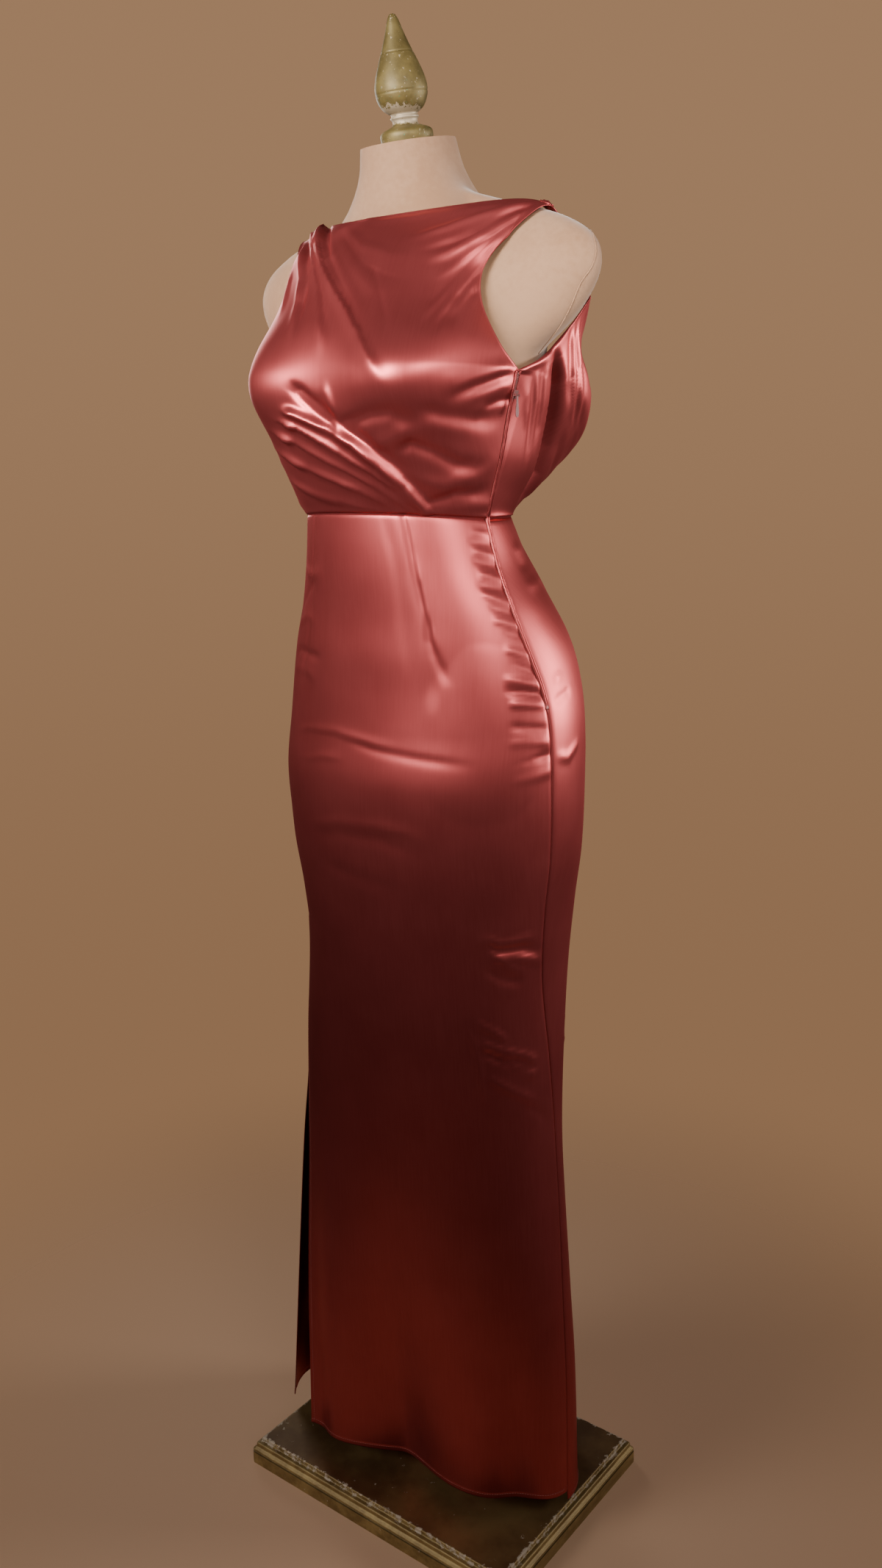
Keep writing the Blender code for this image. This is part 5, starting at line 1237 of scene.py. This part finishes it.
def stitches_along(line, lift_way):
    """Short raised threads end to end along a line of points, a little off the cloth."""
    length = np.concatenate([[0], np.cumsum(np.linalg.norm(np.diff(line, axis=0), axis=1))])
    starts = np.arange(0, length[-1] - STITCH, STITCH + STITCH_GAP)
    turn = full_turn(THREAD_SIDES)
    corners, faces = [], []
    for start in starts:
        at = start + STITCH * np.array([along for along, _, _ in STITCH_RINGS])
        spine = np.stack([np.interp(at, length, line[:, axis]) for axis in range(3)], axis=-1)
        out = np.array([np.interp(at[2], length, lift_way[:, axis]) for axis in range(3)])
        out /= np.linalg.norm(out)
        run = spine[-1] - spine[0]
        run /= np.linalg.norm(run)
        aside = np.cross(run, out)
        base = len(corners)
        for point, (_, radius, lift) in zip(spine, STITCH_RINGS):
            corners.extend(point + out * lift + radius * (math.cos(a) * aside + math.sin(a) * out)
                           for a in turn)
        last = base + THREAD_SIDES * (len(STITCH_RINGS) - 1)
        for first in range(base, last, THREAD_SIDES):
            second = first + THREAD_SIDES
            for step in range(THREAD_SIDES):
                following = (step + 1) % THREAD_SIDES
                faces.append((first + step, first + following, second + following, second + step))
        faces.append(tuple(base + step for step in reversed(range(THREAD_SIDES))))
        faces.append(tuple(last + step for step in range(THREAD_SIDES)))
    mesh = bpy.data.meshes.new("stitches")
    mesh.from_pydata([tuple(corner) for corner in corners], [], faces)
    mesh.shade_smooth()
    return placed("stitches", mesh)


rows = []
for face, flip, slit_above in ((skirt_front_face, False, FRONT_HEM_Z), (skirt_back_face, True, BACK_HEM_Z)):
    away = outward_normals(face, flip)
    level = int(np.argmin(np.abs(face[:, 40, 2] - slit_above - 0.0052)))
    rows.append(stitches_along(face[level, 3:-3], away[level, 3:-3]))
    column = int(np.argmin(np.abs(stretch - -0.955)))
    tall = face[:, column, 2] < SLIT_TOP_Z - 0.004
    rows.append(stitches_along(face[level:][tall[level:], column], away[level:][tall[level:], column]))
stitching = joined("hem_stitching", rows)
stitching.data.materials.append(thread)
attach(stitching, BODY)


# ---------------------------------------------------------------- studio
# A plain tan floor that fades into the backdrop, and five soft lights: a broad key in front and
# above the shoulders, one at the front on the wearer's left, one behind on each side, and a weak
# one on the hem.
floor_paint, feed, place, _ = finish_of("studio_floor", Roughness=0.9, Specular_IOR_Level=0.1,
                                        Emission_Color=(0.075, 0.047, 0.030), Emission_Strength=1.0)
far = place.node("ShaderNodeVectorMath", {"operation": "LENGTH"}, 1, i0=place)
feed(Base_Color=place.noise(0.6, 2.0).between(0.2, 0.8).mixed((0.56, 0.36, 0.235), (0.58, 0.375, 0.245)),
     Alpha=1 - far.between(0.30, 1.25))
mesh = bpy.data.meshes.new("studio_floor")
mesh.from_pydata([(-40, -40, 0), (40, -40, 0), (40, 40, 0), (-40, 40, 0)], [], [(0, 1, 2, 3)])
floor = placed("studio_floor", mesh)
mesh.materials.append(floor_paint)

# The room that lights and mirrors in the satin is darker than the backdrop that the camera sees.
world = bpy.data.worlds.new("studio")
world.use_nodes = True
bpy.context.scene.world = world
tree = world.node_tree
sky = tree.nodes.new("ShaderNodeTexCoord")
rise = Wire(tree, sky.outputs["Generated"]).part("Z") * 0.5 + 0.5
ROOM_BANDS = ((0.0, (0.020, 0.015, 0.011)), (0.30, (0.030, 0.022, 0.016)), (0.44, (0.075, 0.057, 0.042)),
              (0.60, (0.200, 0.155, 0.120)), (0.74, (0.070, 0.057, 0.045)), (1.0, (0.025, 0.021, 0.018)))
room = rise.node("ShaderNodeValToRGB", {"stops": ROOM_BANDS}, Fac=rise)
seen = rise.node("ShaderNodeLightPath")
backdrop = rise.between(0.30, 0.62).mixed((0.290, 0.160, 0.083), (0.365, 0.208, 0.112))
tree.links.new(seen.mixed(room, backdrop).socket, tree.nodes["Background"].inputs["Color"])
tree.nodes["Background"].inputs["Strength"].default_value = 1.0


def soft_light(name, azimuth, elevation, distance, size, power, aim_height, beam):
    """Oblong light aimed at the gown's axis, azimuth from the front to the wearer's left."""
    lamp = bpy.data.lights.new(name, "AREA")
    lamp.shape = "RECTANGLE"
    lamp.size, lamp.size_y = size
    lamp.energy = power
    lamp.color = (1.0, 0.96, 0.92)
    lamp.spread = math.radians(beam)
    azimuth, elevation = math.radians(azimuth), math.radians(elevation)
    aim = Vector((0.0, 0.0, aim_height))
    spot = aim + distance * Vector((math.sin(azimuth) * math.cos(elevation),
                                    -math.cos(azimuth) * math.cos(elevation), math.sin(elevation)))
    thing = placed(name, lamp)
    thing.location = spot
    thing.rotation_euler = (aim - spot).to_track_quat("-Z", "Y").to_euler()


soft_light("key_light", -2.0, 10.0, 2.4, (2.2, 0.5), 19.0, 1.46, 38.0)
soft_light("front_light", 60.0, 14.0, 2.6, (1.2, 0.5), 4.2, 1.34, 46.0)
soft_light("back_light", 128.0, 4.0, 2.6, (0.8, 1.0), 8.0, 1.15, 50.0)
soft_light("foot_light", -30.0, 30.0, 2.3, (1.6, 0.7), 1.5, 0.12, 44.0)
soft_light("rim_light", -120.0, 14.0, 2.8, (0.9, 1.2), 2.6, 1.20, 50.0)

# The camera stands in front of the wearer's left, a little above the waist, and looks down.
AZIMUTH, YAW, PITCH, ROLL = 0.67195, 0.01125, 0.23118, -0.02183
CAMERA_DISTANCE, CAMERA_HEIGHT = 1.46401, 1.24344
FOCAL_PIXELS, FRAME_HEIGHT = 1800.0, 2134.0
heading = AZIMUTH - YAW
ahead = Vector((-math.sin(heading), math.cos(heading), 0.0))
right = Vector((math.cos(heading), math.sin(heading), 0.0))
up = Vector((0.0, 0.0, 1.0))
view = ahead * math.cos(PITCH) - up * math.sin(PITCH)
above = up * math.cos(PITCH) + ahead * math.sin(PITCH)
camera_right = right * math.cos(ROLL) + above * math.sin(ROLL)
camera_up = above * math.cos(ROLL) - right * math.sin(ROLL)
lens = bpy.data.cameras.new("camera")
lens.sensor_fit = "VERTICAL"
lens.sensor_height = 36.0
lens.lens = FOCAL_PIXELS / FRAME_HEIGHT * lens.sensor_height
camera = placed("camera", lens)
turn = Matrix((camera_right, camera_up, -view)).transposed()
spot = Vector((math.sin(AZIMUTH) * CAMERA_DISTANCE, -math.cos(AZIMUTH) * CAMERA_DISTANCE, CAMERA_HEIGHT))
camera.matrix_world = Matrix.Translation(spot) @ turn.to_4x4()
bpy.context.scene.camera = camera
